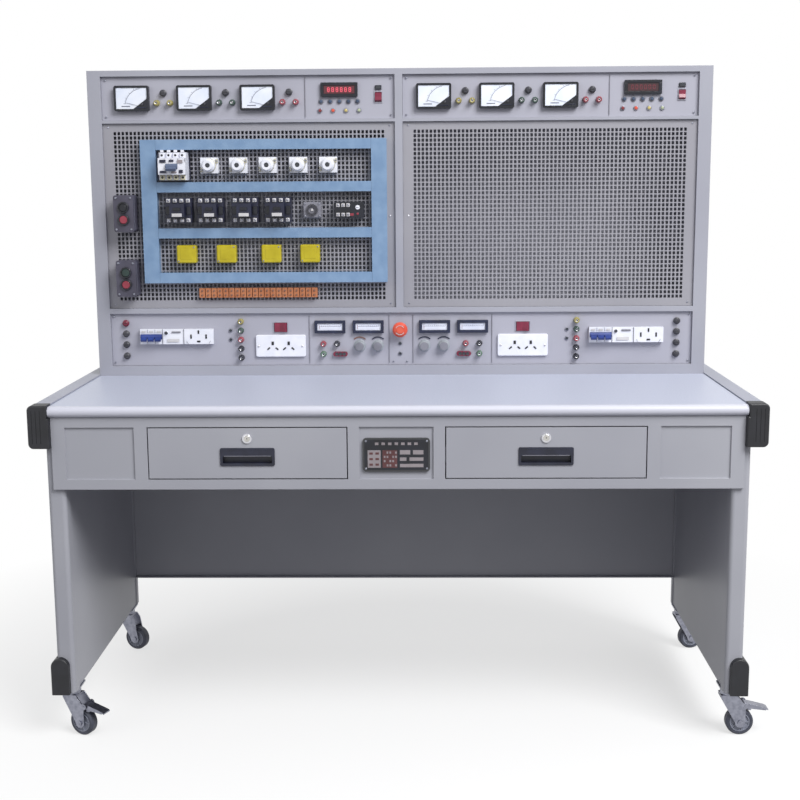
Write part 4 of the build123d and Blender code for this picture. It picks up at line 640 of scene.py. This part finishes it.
BOARD_INNER, BOARD_OUTER, BOARD_Z = 10.3, 765.7, (994.3, 1471.7)
boards = []
for sign in (-1, 1):
    x, z = tuple(sorted((sign * BOARD_INNER, sign * BOARD_OUTER))), BOARD_Z
    y = (PANEL_Y + SHEET, PANEL_Y + SHEET + FLANGE)
    boards.append(punched_board(x, z))
    boards += [soft_block(x, y, (end, end + SHEET), mesh_coat, 0.2) for end in (z[0], z[1] - SHEET)]
    boards += [soft_block((end, end + SHEET), y, z, mesh_coat, 0.2) for end in (x[0], x[1] - SHEET)]
dress("perforated_boards", "bench", boards, stands_for=["mesh_panels"])

# %% [markdown]
# ## Panel meters
# A moving-coil meter shows a white card with an arc of ticks, a thin needle that rests at
# the left, and a black cover over the pivot in its lower right corner. The CAD has the
# case and the cover. The card, the scale's ticks, the cover's screw and the needle are
# drawn here. All of them turn about one point, the coil's pivot.

# %% Dials and needles
HALF_X = 388
METERS = [side * HALF_X + x for side in (-1, 1) for x in (-298, -137, 26)]
METER_Z = 1535.0
METER_FRONT = PANEL_Y - 14
CARD_Y = METER_FRONT + 5
coat_node(gloss_black, "analog_meters")
dials = []
for x in METERS:
    outline = [(x - 39.5, METER_Z - 26.5), (x + 4.0, METER_Z - 26.5), (x + 39.5, METER_Z - 0.4),
               (x + 39.5, METER_Z + 26.5), (x - 39.5, METER_Z + 26.5)]
    pivot = (x + 30, METER_Z - 22)
    dials.append(card(outline, CARD_Y - 1.0, 1.0, dial_card))
    dials.append(card(arc(*pivot, 46.5, 47.3, 100, 170), CARD_Y - 1.3, 0.3, ink))
    for n in range(21):
        tip, width = (49.5, 0.4) if n % 5 else (51.5, 0.7)
        dials.append(card(ray(*pivot, radians(100 + 3.5 * n), 47, tip, width), CARD_Y - 1.3, 0.3, ink))
    dials.append(card(bar(x - 26, METER_Z - 20, x - 4, METER_Z - 20, 2.2), CARD_Y - 1.4, 0.4, ink))
    dials.append(card(ray(*pivot, radians(166), 14, 46, 0.7), CARD_Y - 2.6, 0.4, ink))
    dials.append(soft_block((x + 14, x + 38), (METER_FRONT + 0.4, METER_FRONT + 1.2),
                            (METER_Z - 24.5, METER_Z - 23.0), navy_frame, 0.2))
    dials.append(turned([(0, 1.4), (2.6, 1.4), (3.2, 0.8), (3.2, 0)], x + 28, METER_Z - 15, fuse_grey, 14,
                        METER_FRONT + 1))
    dials.append(block_at(x + 28, METER_Z - 15, 4.6, 0.8, (METER_FRONT - 0.8, METER_FRONT), slot_dark, 0.1))
dress("meter_dials", "bench", dials)

# %% [markdown]
# ## Timer displays
# Each instrument panel has a digital timer: a black bezel, a red film with six digits,
# five blue-grey keys below it and four indicators. The left one is lit in the photograph
# and shows all seven strokes of each digit. The right one is dim and shows six, which
# leaves out the middle stroke: the last one in the list.

# %% Displays and keys
STROKES = ((0, 5, "flat"), (2.6, 2.5, "upright"), (2.6, -2.5, "upright"), (0, -5, "flat"),
           (-2.6, -2.5, "upright"), (-2.6, 2.5, "upright"), (0, 0, "flat"))
STROKE_SIZE = {"flat": (4.2, 1.3), "upright": (1.3, 4.0)}
KEY = [(0, 4.6), (3.2, 4.4), (4.2, 3.4), (4.5, 1.2), (4.5, 0.0), (0, 0)]
TIMER_OFFSET, TIMER_Z, KEY_Z = 236, 1553.0, 1524
DIGIT_PITCH, KEY_PITCH = 11.0, 23.5
BEZEL_Y = PANEL_Y - 7
timers = []
for sign, film, digit, strokes in ((-1, film_red, digit_red, STROKES), (1, film_dim, digit_dim, STROKES[:6])):
    x = sign * HALF_X + TIMER_OFFSET
    timers += [block_at(x + sx, TIMER_Z + sz, wide, high, (BEZEL_Y, PANEL_Y), gloss_black, 0.8)
               for wide, high, sx, sz in ((95, 8, 0, 14), (95, 8, 0, -14),
                                          (8, 21, 43.5, 0), (8, 21, -43.5, 0))]
    timers.append(block_at(x, TIMER_Z, 79, 20, (BEZEL_Y + 3.0, PANEL_Y + 20), film, 0.3))
    timers.append(block_at(x, TIMER_Z, 87, 30, (PANEL_Y + 0.2, PANEL_Y + 45), fuse_grey, 0.8))
    for n in range(6):
        timers += [block_at(x + (n - 2.5) * DIGIT_PITCH + dx, TIMER_Z + dz, *STROKE_SIZE[way],
                            (BEZEL_Y + 2.4, BEZEL_Y + 3.1), digit, 0.2) for dx, dz, way in strokes]
    for key_x in (x + n * KEY_PITCH for n in range(-2, 3)):
        timers.append(turned(KEY, key_x, KEY_Z, key_blue))
        timers.append(turned([(4.7, 0), (4.7, 1.4), (6.2, 1.2), (6.8, 0)], key_x, KEY_Z, seam_grey_and_highlight))
dress("digital_timer_pieces", "bench", timers, stands_for=["digital_timers"])

# %% [markdown]
# ## Safety sockets
# Every circuit ends in 4 mm safety sockets: a coloured insulating shroud, a nickelled sleeve
# inside it and the hole for the plug. Colours mark the phases: yellow, green and red, with
# black for neutral. They are turned shapes in one piece, so a lathe profile draws them.

# %% Sockets
PHASES = (post_yellow, post_green, post_red)
METER_SOCKET_Z, METER_SOCKET_OFFSETS = 1523, (64, 98)
PHASE_X, PHASE_Z = (-421, 464), (958, 934, 910, 886, 862)
REGULATOR_SOCKETS = ((-203, 898, post_red), (-167, 898, post_black), (-203, 871, post_olive),
                     (173, 898, post_red), (209, 898, post_black), (209, 871, post_olive))


def safety_socket(x, z, colour):
    shroud = [(2.0, 3.2), (3.4, 15.4), (5.4, 16.0), (6.2, 15.2), (6.8, 7.2), (8.0, 4.8), (8.0, 0.0), (0, 0)]
    sleeve = [(2.0, 3.0), (2.0, 15.0), (2.9, 15.6), (3.3, 15.0), (3.3, 3.0)]
    return [turned(shroud, x, z, colour), turned(sleeve, x, z, chrome, 14),
            turned([(0, 3.4), (2.1, 3.3), (2.1, 2.6)], x, z, slot_dark, 12)]


def double_socket(x, z, colour):
    rim = [(0, 8.4), (2.2, 8.4), (4.2, 9.2), (4.8, 8.2)]
    return [card(rounded(x, z, 38.4, 12.8, 6.2), PANEL_Y - 8, 8.0, colour)] + [
        turned(rim, x + dx, z, fuse_grey, 14) for dx in (-9.6, 0, 9.6)]


sockets = []
for n, x in enumerate(METERS):
    for offset in METER_SOCKET_OFFSETS:
        sockets += safety_socket(x + offset, METER_SOCKET_Z, PHASES[n % 3])
for x in PHASE_X:
    for z, colour in zip(PHASE_Z, PHASES + (post_black, post_black)):
        sockets += safety_socket(x, z, colour)
for x, z, colour in REGULATOR_SOCKETS:
    sockets += safety_socket(x, z, colour)
sockets += double_socket(-158, 871, dark_red) + double_socket(168, 871, dark_red)
dress("safety_sockets", "bench", sockets, stands_for=["binding_posts"])

# %% [markdown]
# ## Fuses and lamps
# Beside each meter stands a screw-in fuse cap, and four more sit at each end of the power
# panel. Indicators are small domes of tinted acrylic in a bezel ring. Above each upper
# rocker sits a smoked lens, and small smoked domes stand beside the sockets.

# %% Fuse caps and domes
CAP_OFFSET, CAP_Z, END_CAP_X, END_CAP_Z = 81, 1548, 726, (955, 927, 898, 868)
LENS_OFFSET, LENS_Z = 336, 1558
LAMP_PITCH, LAMP_Z = 33.5, 1501


def fuse_cap(x, z, colour):
    cap = [(0, 10), (5.0, 10), (6.4, 8.8), (6.8, 5.2), (9.0, 4.0), (9.0, 0), (0, 0)]
    return [turned(cap, x, z, colour),
            block_at(x, z, 8.4, 1.6, proud(10.3, 9.2), slot_dark, 0.2)]


def dome(x, z, radius, colour):
    lens = [(0, radius), (radius * 0.55, radius * 0.88), (radius * 0.9, radius * 0.5), (radius, 0.2), (0, 0)]
    ring = [(radius, 0), (radius, 1.2), (radius + 1.4, 1.0), (radius + 1.8, 0)]
    return [turned(lens, x, z, colour), turned(ring, x, z, zinc)]


lights = []
for x in METERS:
    lights += fuse_cap(x + CAP_OFFSET, CAP_Z, fuse_grey)
for sign in (-1, 1):
    for n, z in enumerate(END_CAP_Z):
        lights += fuse_cap(sign * END_CAP_X, z, dark_red if n == 0 and sign < 0 else fuse_grey)
    for n, colour in enumerate((red_indicator_and_needle_glow, orange_light_and_stop_glow, lamp_yellow, lamp_pale)):
        lights += dome(sign * HALF_X + TIMER_OFFSET + (n - 1.5) * LAMP_PITCH, LAMP_Z, 4.5, colour)
    x = sign * HALF_X + LENS_OFFSET
    lights.append(block_at(x, LENS_Z, 15, 9, proud(4, -0.5), sight_glass, 1.0))
    lights.append(block_at(x, LENS_Z, 17, 11, proud(1.4, -0.4), gloss_black, 0.4))
for x, z in [(x, z) for x in (-449, 439) for z in (934, 910)] + [(0, 898), (0, 871)]:
    lights += dome(x, z, 3.5, sight_glass)
dress("fuse_caps_and_domes", "bench", lights, stands_for=["fuses_and_lamps"])

# %% [markdown]
# ## Rockers, knobs and the emergency stop
# The moving controls keep their solids, with the finish of each. The regulator knobs turn
# in front of a printed arc, and the stop is the red mushroom in the middle, with a glowing
# orange disc on its top as a painted highlight.

# %% Controls
KNOB_X, KNOB_Z, STOP_Z = (-107, -59, 64, 115), 892, 936
for side in SIDES:
    coat_node(dark_red, f"upper_rocker_{side}", f"lower_rocker_{side}")
    coat_node(lever_blue, f"breaker_lever_{side}")
coat_node(stop_red, "estop_button")
coat_node(red_plastic, "upper_station_red_button", "lower_station_red_button")
coat_node(green_plastic, "lower_station_green_button")
coat_node(gloss_black, "upper_station_black_button")
coat_node(lever_slate, "rcd_lever")
scales = []
for n, x in enumerate(KNOB_X, 1):
    coat_node(knob_plastic, f"regulator_knob_{n}")
    scale_ink = ink_brown if n == 1 else navy_frame
    scales.append(card(arc(x, KNOB_Z, 21.5, 24.5, 48, 132), PANEL_Y - 0.3, 0.6, scale_ink))
    top = [turned([(0, 18.5), (10.6, 18.5), (11.4, 18.0), (11.4, 17.6)], x, KNOB_Z, relay_grey),
           card(bar(x - 3, KNOB_Z - 3, x - 9, KNOB_Z - 9, 1.2), PANEL_Y - 18.8, 0.4, seam_grey_and_highlight)]
    dress(f"knob_face_{n}", f"regulator_knob_{n}", top)
dress("knob_scales", "bench", scales)
# The orange disc on the stop's top glows, though the stop holds no lamp: a painted highlight.
stop_glow_and_arrows = [turned([(0, 30.4), (9, 30.1), (9, 29.4)], 0, STOP_Z, orange_light_and_stop_glow)]
stop_glow_and_arrows += [card(arc(0, STOP_Z, 11.2, 12.6, start, start + 120), PANEL_Y - 29.9, 0.5, label_pale)
              for start in (30, 210)]
dress("stop_arrows_and_painted_glow", "estop_button", stop_glow_and_arrows)

# %% [markdown]
# ## The modular row
# Each end of the power panel has a breaker with a blue tie bar, a leakage unit with its
# test key, and a socket unit, all in white polyamide. The seams between the poles, the
# printed windows and the shadow in the sockets make them readable. The two wide outlets
# have an upright earth slot and a pair of slanted slots for each plug.

# %% Breakers and socket outlets
coat_node(white_plastic, "breaker_bodies", "socket_outlets")
MODULE_LEFT, MODULE_Z = (-687, 496), 920
OUTLET_X, OUTLET_Z, PLUG_X = (-316, 323), 893, 21.1
NOSE_Y, OUTLET_Y = PANEL_Y - 16, PANEL_Y - 8
seam_y, gap_y, print_y = (NOSE_Y - 0.2, NOSE_Y + 1), (NOSE_Y - 0.2, NOSE_Y + 2), (NOSE_Y - 0.35, NOSE_Y + 0.2)
row = []
for left in MODULE_LEFT:
    row += [soft_block(around(left + 20 * n, 0.7), seam_y, z, seam_grey_and_highlight, 0.1)
            for n in (1, 2) for z in ((901, 911), (929, 939.5))]
    row += [soft_block((left + start, left + end), gap_y, (900, 940), seam_grey_and_highlight, 0.1)
            for start, end in ((59.5, 60.5), (115.4, 116.6))]
    row += [soft_block(around(left + x, 11), print_y, (931, 936), label_pale, 0.1) for x in (10, 30, 50)]
    row.append(soft_block((left + 72, left + 104), print_y, (906, 914), label_pale, 0.1))
    row.append(soft_block((left + 84, left + 108), print_y, (930, 934), seam_grey_and_highlight, 0.1))
    test_key = [(0, 18.8), (3.4, 18.6), (4.3, 17.4), (4.5, 16.4)]
    row.append(turned(test_key, left + 69.5, 930, fuse_grey, 14))
    x = left + 155
    row += [block_at(x + sx, MODULE_Z + sz, wide, high, (NOSE_Y + 0.6, NOSE_Y + 9), slot_dark, 0.2)
            for sx, sz, wide, high in ((-20, 0, 4, 11), (20, 0, 4, 11), (0, 12, 4, 9), (0, -13, 9, 4))]
    row.append(card(arc(x, MODULE_Z, 33.0, 33.8, 200, 340), NOSE_Y - 0.3, 0.4, seam_grey_and_highlight))
for x in OUTLET_X:
    row += [block_at(x + side * PLUG_X, OUTLET_Z + 7, 6, 9, (OUTLET_Y + 0.8, OUTLET_Y + 11), slot_dark, 0.2)
            for side in (-1, 1)]
    row += [card(ray(x + side * PLUG_X + end * 11, OUTLET_Z - 7, radians(90 + end * 50), -4.5, 4.5, 3.4),
                 OUTLET_Y + 0.8, 10, slot_dark) for side, end in CORNERS]
    row += [turned([(0, 9.0), (1.6, 9.0), (2.6, 8.3), (2.8, 7.8)], x + side * 58, OUTLET_Z, chrome, 12)
            for side in (-1, 1)]
dress("modular_row_details", "bench", row)

# %% [markdown]
# ## Slim meters
# Four narrow meters stand above the knobs: a navy frame round a white card with a scale
# that runs straight across, as edgewise meters have it.

# %% Slim meter cards
SLIM_X, SLIM_Z, SLIM_FRONT = (-185, -84, 91, 191), 943, PANEL_Y - 9
slim = []
for x in SLIM_X:
    slim += [block_at(x + sx, SLIM_Z + sz, wide, high, (SLIM_FRONT - 0.3, SLIM_FRONT + 4), navy_frame, 0.7)
             for wide, high, sx, sz in ((81.6, 7.6, 0, 13), (81.6, 7.6, 0, -13),
                                        (7.6, 19.2, 37, 0), (7.6, 19.2, -37, 0))]
    slim.append(block_at(x, SLIM_Z, 66.5, 18.6, (SLIM_FRONT + 3.6, SLIM_FRONT + 4.6), slim_card, 0.1))
    slim.append(card(bar(x - 28, SLIM_Z + 1, x + 28, SLIM_Z + 1, 0.6), SLIM_FRONT + 3.3, 0.3, ink))
    for n in range(11):
        tick_x, tick_top = x - 28 + 5.6 * n, SLIM_Z + (3.4 if n % 5 else 5)
        slim.append(card(bar(tick_x, SLIM_Z + 1, tick_x, tick_top, 0.6), SLIM_FRONT + 3.3, 0.3, ink))
    # The red needle glows faintly in the dark red indicator finish, though it is no lamp: a painted glow.
    slim.append(card(bar(x - 28, SLIM_Z - 6, x - 28, SLIM_Z + 4, 0.8), SLIM_FRONT + 3.0, 0.3, red_indicator_and_needle_glow))
dress("slim_meter_cards", "bench", slim)

# %% [markdown]
# ## Ducts and the terminal strip
# Light blue PVC ducts frame the devices. The lid is a separate extrusion that clips over
# the trough, so it shows one shadow line along each side. Below lies the orange strip,
# twenty poles with a clamp screw at each end.

# %% Ducts and strip
coat_node(duct_pvc, "wiring_ducts")
coat_node(orange_plastic, "terminal_strip")
POLES, POLE_PITCH, STRIP_LEFT, CLAMP_Z = 20, 15.5, -526, (1029.5, 1040.5)
clamp_screw = [(0, 16.5), (1.9, 16.5), (2.5, 16.1), (2.7, 15.8)]
strip = [turned(clamp_screw, STRIP_LEFT + POLE_PITCH * (n + 0.5), z, screw_brown, 12)
         for n in range(POLES) for z in CLAMP_Z]
dress("terminal_screws", "bench", strip)

# %% [markdown]
# ## The main switch and the screw fuses
# The four-pole switch has a white case with a stepped nose, dark windows, screw wells and
# yellowed terminal covers below. A navy block behind it paints the shadow around the switch.
# Five screw fuses follow it: a white ceramic foot and cap, and a sight glass in the middle of
# each cap, with a very faint painted glow.

# %% Switch and fuses
coat_node(white_plastic, "screw_fuses")
SWITCH_X, SWITCH_Z = -579, 1362
FUSE_X, FUSE_Z = (-489, -414, -338, -259, -182), 1364
WINDOWS = ((-22, 13, 16, 7, navy_plastic_and_shadow), (0, 14, 12, 5, navy_plastic_and_shadow), (22, 12, 14, 8, label_grey),
           (-22, -14, 16, 6, navy_plastic_and_shadow), (6, -15, 14, 4, label_grey), (24, -13, 10, 8, navy_plastic_and_shadow))
# The navy block 6 mm proud of the panel behind the switch is a painted shadow around it.
top = [block_at(SWITCH_X, SWITCH_Z, 76, 82, proud(6, 0.2), navy_plastic_and_shadow, 0.8)]
for n in range(4):
    x = SWITCH_X + (n - 1.5) * 17.5
    for z, wall in ((SWITCH_Z + 28, white_plastic), (SWITCH_Z - 28, cream_plastic)):
        top.append(block_at(x, z, 12.0, 13, proud(49.5, 45), wall, 0.8))
        top.append(turned([(0, 49.9), (2.8, 49.9), (3.4, 49.2)], x, z, slot_dark, 12))
    top.append(block_at(x, SWITCH_Z + 38.5, 9, 6, proud(46.8, 45), white_plastic, 0.6))
    top.append(block_at(x + 8.75, SWITCH_Z + 15.5, 0.7, 9, proud(62.3, 61), seam_grey_and_highlight, 0.1))
top += [block_at(SWITCH_X + x, SWITCH_Z + z, wide, high, proud(62.6, 61.8), finish, 0.2)
        for x, z, wide, high, finish in WINDOWS]
for x in FUSE_X:
    # The sight glass glows very faintly, though a fuse holds no lamp: a painted glow.
    top.append(turned([(0, 49.0), (4.8, 49.0), (5.6, 48.2)], x, FUSE_Z, sight_glass, 16))
    top.append(turned([(6.2, 50.2), (9.6, 50.5), (12.8, 50.3), (13.2, 49.6)], x, FUSE_Z, white_plastic, 24))
    top.append(turned([(17.2, 26), (18.2, 25.4), (18.2, 22.6), (17.2, 22.2)], x, FUSE_Z, cream_plastic, 24))
    for clamp_x, clamp_z in ((x + sx * 20.0, FUSE_Z + sx * 11) for sx in (-1, 1)):
        top.append(block_at(clamp_x, clamp_z, 5.4, 11, proud(24.5, 21.8), cream_plastic, 0.6))
        top.append(turned([(0, 26), (1.9, 26), (2.4, 25.2), (2.4, 24.4)], clamp_x, clamp_z, zinc, 12))
dress("switch_and_fuse_details", "bench", top)

# %% [markdown]
# ## Contactors and relays
# Four contactors in navy-black cases come with rows of bright clamp screws above and below
# and a white label on the coil. Then the timer's plug base and the thermal relay. Four
# yellow boxes hold the relays of the lower row.

# %% Contactors
coat_node(navy_plastic_and_shadow, "contactors")
CONTACTOR_X, CONTACTOR_Z = (-569, -486, -397, -312), 1250
pole_screw = [(0, 43.4), (2.4, 43.4), (3.2, 42.8), (3.2, 42.2)]
terminals = []
for x in CONTACTOR_X:
    for row_z in (CONTACTOR_Z + 25, CONTACTOR_Z - 25):
        for pole_x in (x + (n - 1.5) * 17 for n in range(4)):
            terminals.append(block_at(pole_x, row_z, 9.6, 9.6, proud(42.4, 34.5), label_pale, 0.8))
            terminals.append(turned(pole_screw, pole_x, row_z, zinc, 12))
    terminals.append(soft_block(around(x, 26), proud(64.6, 63.8), (1234.5, 1243), label_pale, 0.2))
    terminals.append(soft_block(around(x, 18), proud(65.4, 63.8), (1250, 1258), gloss_black, 0.6))
    terminals += [block_at(x + sx * 27, CONTACTOR_Z, 12, 20, proud(42.2, 39.8), gloss_black, 0.6)
                  for sx in (-1, 1)]
dress("contactor_details", "bench", terminals)

# %% Relays
BASE_X, THERMAL_X, RELAY_Z = -225, -129, 1249
YELLOW_X, YELLOW_Z = (-554, -450, -333, -232), 1137
x, y = BASE_X, PANEL_Y - 24
relays = [block_at(x, RELAY_Z, 46, 40, (y, PANEL_Y), relay_grey, 1.4),
          turned([(9.0, 0), (9.0, 5.0), (15.0, 5.0), (15.0, 0)], x, RELAY_Z, fuse_grey, 28, y)]
relays += [turned([(0, 0.8), (1.3, 0.8), (1.3, 0)], x + 11.8 * cos(a), RELAY_Z + 11.8 * sin(a), slot_dark,
                  10, y - 4.6) for a in (2 * pi * n / 8 for n in range(8))]
relays.append(turned([(0, 2.4), (3.0, 2.2), (3.8, 1.0), (3.8, 0)], x, RELAY_Z, label_pale, 16, y))
relays += [turned([(0, 1.6), (2.0, 1.6), (2.6, 0.9), (2.6, 0)], x + sx * 18, RELAY_Z + sz * 15, zinc, 12, y)
           for sx, sz in CORNERS]
x, y = THERMAL_X, PANEL_Y - 44
relays.append(block_at(x, RELAY_Z, 76, 40, (y, PANEL_Y), gloss_black, 1.2))
for n, side in product(range(3), (-1, 1)):
    clamp_x, clamp_z = x + (n - 1.5) * 13 - 8, RELAY_Z + side * 12
    relays.append(block_at(clamp_x, clamp_z, 9, 9, (y - 1.2, y + 1), label_pale, 0.7))
    relays.append(turned([(0, 2.2), (2.2, 2.2), (2.9, 1.5), (2.9, 1.0)], clamp_x, clamp_z, zinc, 12, y))
relays += [turned([(0, 4.4), (4.6, 4.2), (5.8, 3.0), (6.0, 0)], x + 22.8, RELAY_Z + 6, white_plastic, 18, y),
           block_at(x + 22.8, RELAY_Z + 6, 7, 1.1, (y - 4.8, y - 4.1), ink, 0.1),
           turned([(0, 4.0), (2.4, 3.8), (3.0, 3.0), (3.0, 0)], x + 22.8, RELAY_Z - 10, red_plastic, 14, y),
           block_at(x + 8, RELAY_Z - 12, 9, 6, (y - 0.5, y + 0.5), red_plastic, 0.2)]
y = PANEL_Y - 32
for x in YELLOW_X:
    relays.append(block_at(x, YELLOW_Z, 50, 46, (y + 8.6, PANEL_Y), yellow_plastic, 2.0))
    relays.append(block_at(x, YELLOW_Z, 50, 46, (y, y + 8), yellow_plastic, 2.8))
    relays.append(block_at(x, YELLOW_Z, 48.6, 44.6, (y + 7.6, y + 9), cream_plastic, 0.2))
    relays.append(block_at(x, YELLOW_Z, 30, 26, (y - 0.5, y + 0.4), yellow_plastic, 0.4))
    relays += [turned([(0, 0.7), (1.8, 0.7), (2.3, 0)], x + sign * 20, YELLOW_Z + sign * 18, zinc, 12, y)
               for sign in (-1, 1)]
dress("relay_pieces", "bench", relays, stands_for=["relays"])

# %% [markdown]
# ## Push-button stations
# Two slate-grey boxes hang at the left edge, each with two buttons in black bezels. The
# buttons are bodies of their own and move, so only the bezels, the lid's seam, its screws
# and a bush at the panel are added.

# %% Stations
coat_node(station_plastic, "button_stations")
STATION_X, STATION_Z, STATION_FRONT = -709, (1243, 1076), PANEL_Y - 52
bezel = [(10.7, 0.2), (10.7, 4.8), (13.2, 4.9), (14.6, 3.6), (14.8, 0.2)]
lid_screw = [(0, 1.0), (2.2, 1.0), (2.9, 0.2)]
bush = [(7.0, 0), (7.0, 6), (9.6, 6), (9.6, 0)]
stations = []
for z in STATION_Z:
    stations += [turned(bezel, STATION_X, z + up, gloss_black, 28, STATION_FRONT) for up in (15.5, -15.5)]
    stations += [turned(lid_screw, STATION_X + sx * 19, z + sz * 40, zinc, 12, STATION_FRONT)
                 for sx, sz in CORNERS]
    stations += [soft_block((STATION_X + sx * 25.6, STATION_X + sx * 26.4), proud(40.6, 39.4),
                            (z - 41, z + 41), seam_grey_and_highlight, 0.1) for sx in (-1, 1)]
    stations.append(turned(bush, STATION_X, z, station_plastic, 16, PANEL_Y - 2))
dress("station_bezels", "bench", stations)

# %% [markdown]
# ## Stage, light and camera
# The picture was taken from 3.2 m away at chest height, a hand's width right of the middle,
# with a slightly long lens. The bright top, the dark knee space and the brighter right side
# tell of a large soft light from high on the right, with little coming back from the
# ground. The floor and the world are white only to the camera and to mirrors: to the bench
# the world is a weak fill, and the floor a grey that returns little light.

# %% Floor
POOL_START, POOL_END = 0.7, 1.8


def white_to_the_eye(finish):
    rays = add_node(finish, "LightPath")
    seen = add_node(finish, "Math", {0: rays.outputs["Is Camera Ray"], 1: rays.outputs["Is Glossy Ray"]},
                    operation="ADD", use_clamp=True)
    return add_node(finish, "Math", {0: seen.outputs["Value"], 1: rays.outputs["Is Transmission Ray"]},
                    operation="ADD", use_clamp=True)


floor_finish, surface = start_finish("pale_studio_floor", "#F4F4F4", 0.8)
surface.inputs["Specular IOR Level"].default_value = 0.1
spot = add_node(floor_finish, "TexCoord")
reach = add_node(floor_finish, "VectorMath", {0: spot.outputs["Object"]}, operation="LENGTH")
fade = add_node(floor_finish, "MapRange", {"Value": reach.outputs["Value"], "From Min": POOL_START,
                                           "From Max": POOL_END, "To Min": 0.6, "To Max": 1.0})
seen = white_to_the_eye(floor_finish)
tone = add_node(floor_finish, "Mix", {"Factor": seen.outputs["Value"]}, data_type="RGBA")
tone.inputs[6].default_value = linear("#7C7C80")
tone.inputs[7].default_value = linear("#F8F8F8")
floor_finish.node_tree.links.new(tone.outputs[2], surface.inputs["Base Color"])
amount = add_node(floor_finish, "Math", {0: fade.outputs["Result"], 1: seen.outputs["Value"]},
                  operation="MULTIPLY")
glow = add_node(floor_finish, "Emission", {"Strength": 1.0})
blend = add_node(floor_finish, "MixShader", {0: amount.outputs["Value"], 1: surface.outputs["BSDF"],
                                             2: glow.outputs["Emission"]})
output = floor_finish.node_tree.nodes["Material Output"]
floor_finish.node_tree.links.new(blend.outputs["Shader"], output.inputs["Surface"])
sheet = bpy.data.meshes.new("studio_floor")
sheet.from_pydata([(-9, -9, 0), (9, -9, 0), (9, 9, 0), (-9, 9, 0)], [], [(0, 1, 2, 3)])
sheet.materials.append(floor_finish)
floor = bpy.data.objects.new("studio_floor", sheet)
bench.collection.objects.link(floor)
print(f"floor fades to white between {POOL_START} and {POOL_END} m from the middle")

# %% World and lamps
WORLD_FILL = 0.42
LAMP_TARGET = (0, 0, 1.0)
room = bpy.data.worlds.new("studio_room")
room.use_nodes = True
bench.world = room
wall = room.node_tree.nodes["Background"]
wall.inputs["Color"].default_value = (0.97, 0.98, 1.0, 1.0)
wall.inputs["Strength"].default_value = WORLD_FILL
bright = add_node(room, "Background", {"Color": (1, 1, 1, 1), "Strength": 1.0})
seen = white_to_the_eye(room)
choice = add_node(room, "MixShader", {0: seen.outputs["Value"], 1: wall.outputs["Background"],
                                      2: bright.outputs["Background"]})
room.node_tree.links.new(choice.outputs["Shader"], room.node_tree.nodes["World Output"].inputs["Surface"])


def soft_lamp(name, place, target, size, share):
    """A square lamp whose light at the target is a share of full white."""
    lamp = bpy.data.lights.new(name, "AREA")
    lamp.size = size
    way = Vector(place) - Vector(target)
    lamp.energy = share * pi * pi * way.length_squared
    piece = bpy.data.objects.new(name, lamp)
    piece.location = place
    piece.rotation_euler = way.to_track_quat("Z", "Y").to_euler()
    bench.collection.objects.link(piece)
    print(f"{name}: {lamp.energy:.0f} W at {way.length:.1f} m")


soft_lamp("sky_lamp", (2.3, -2.9, 4.3), LAMP_TARGET, 2.6, 1.15)
soft_lamp("fill_lamp", (-3.4, -3.0, 3.2), LAMP_TARGET, 3.0, 0.12)

# %% Camera
EYE_PLACE = (73.4, -2904.6, 1315.5)
YAW, PITCH, ROLL = -0.0221, -0.1661, -0.0071
FOCAL_PIXELS, PHOTO_WIDTH, SENSOR_MM = 1293.0, 800, 36.0
eye = bpy.data.cameras.new("photo_camera")
eye.sensor_width = SENSOR_MM
eye.lens = FOCAL_PIXELS / PHOTO_WIDTH * SENSOR_MM
forward = Vector((sin(YAW) * cos(PITCH), cos(YAW) * cos(PITCH), sin(PITCH)))
level = Vector((cos(YAW), -sin(YAW), 0))
upward = level.cross(forward)
right = level * cos(ROLL) + upward * sin(ROLL)
camera = bpy.data.objects.new("photo_camera", eye)
turn = Matrix((right, right.cross(forward), -forward)).transposed().to_4x4()
camera.matrix_world = Matrix.Translation(at(*EYE_PLACE)) @ turn
bench.collection.objects.link(camera)
bench.camera = camera
bench.view_settings.view_transform = "Standard"
print("lens", round(eye.lens, 1), "mm")
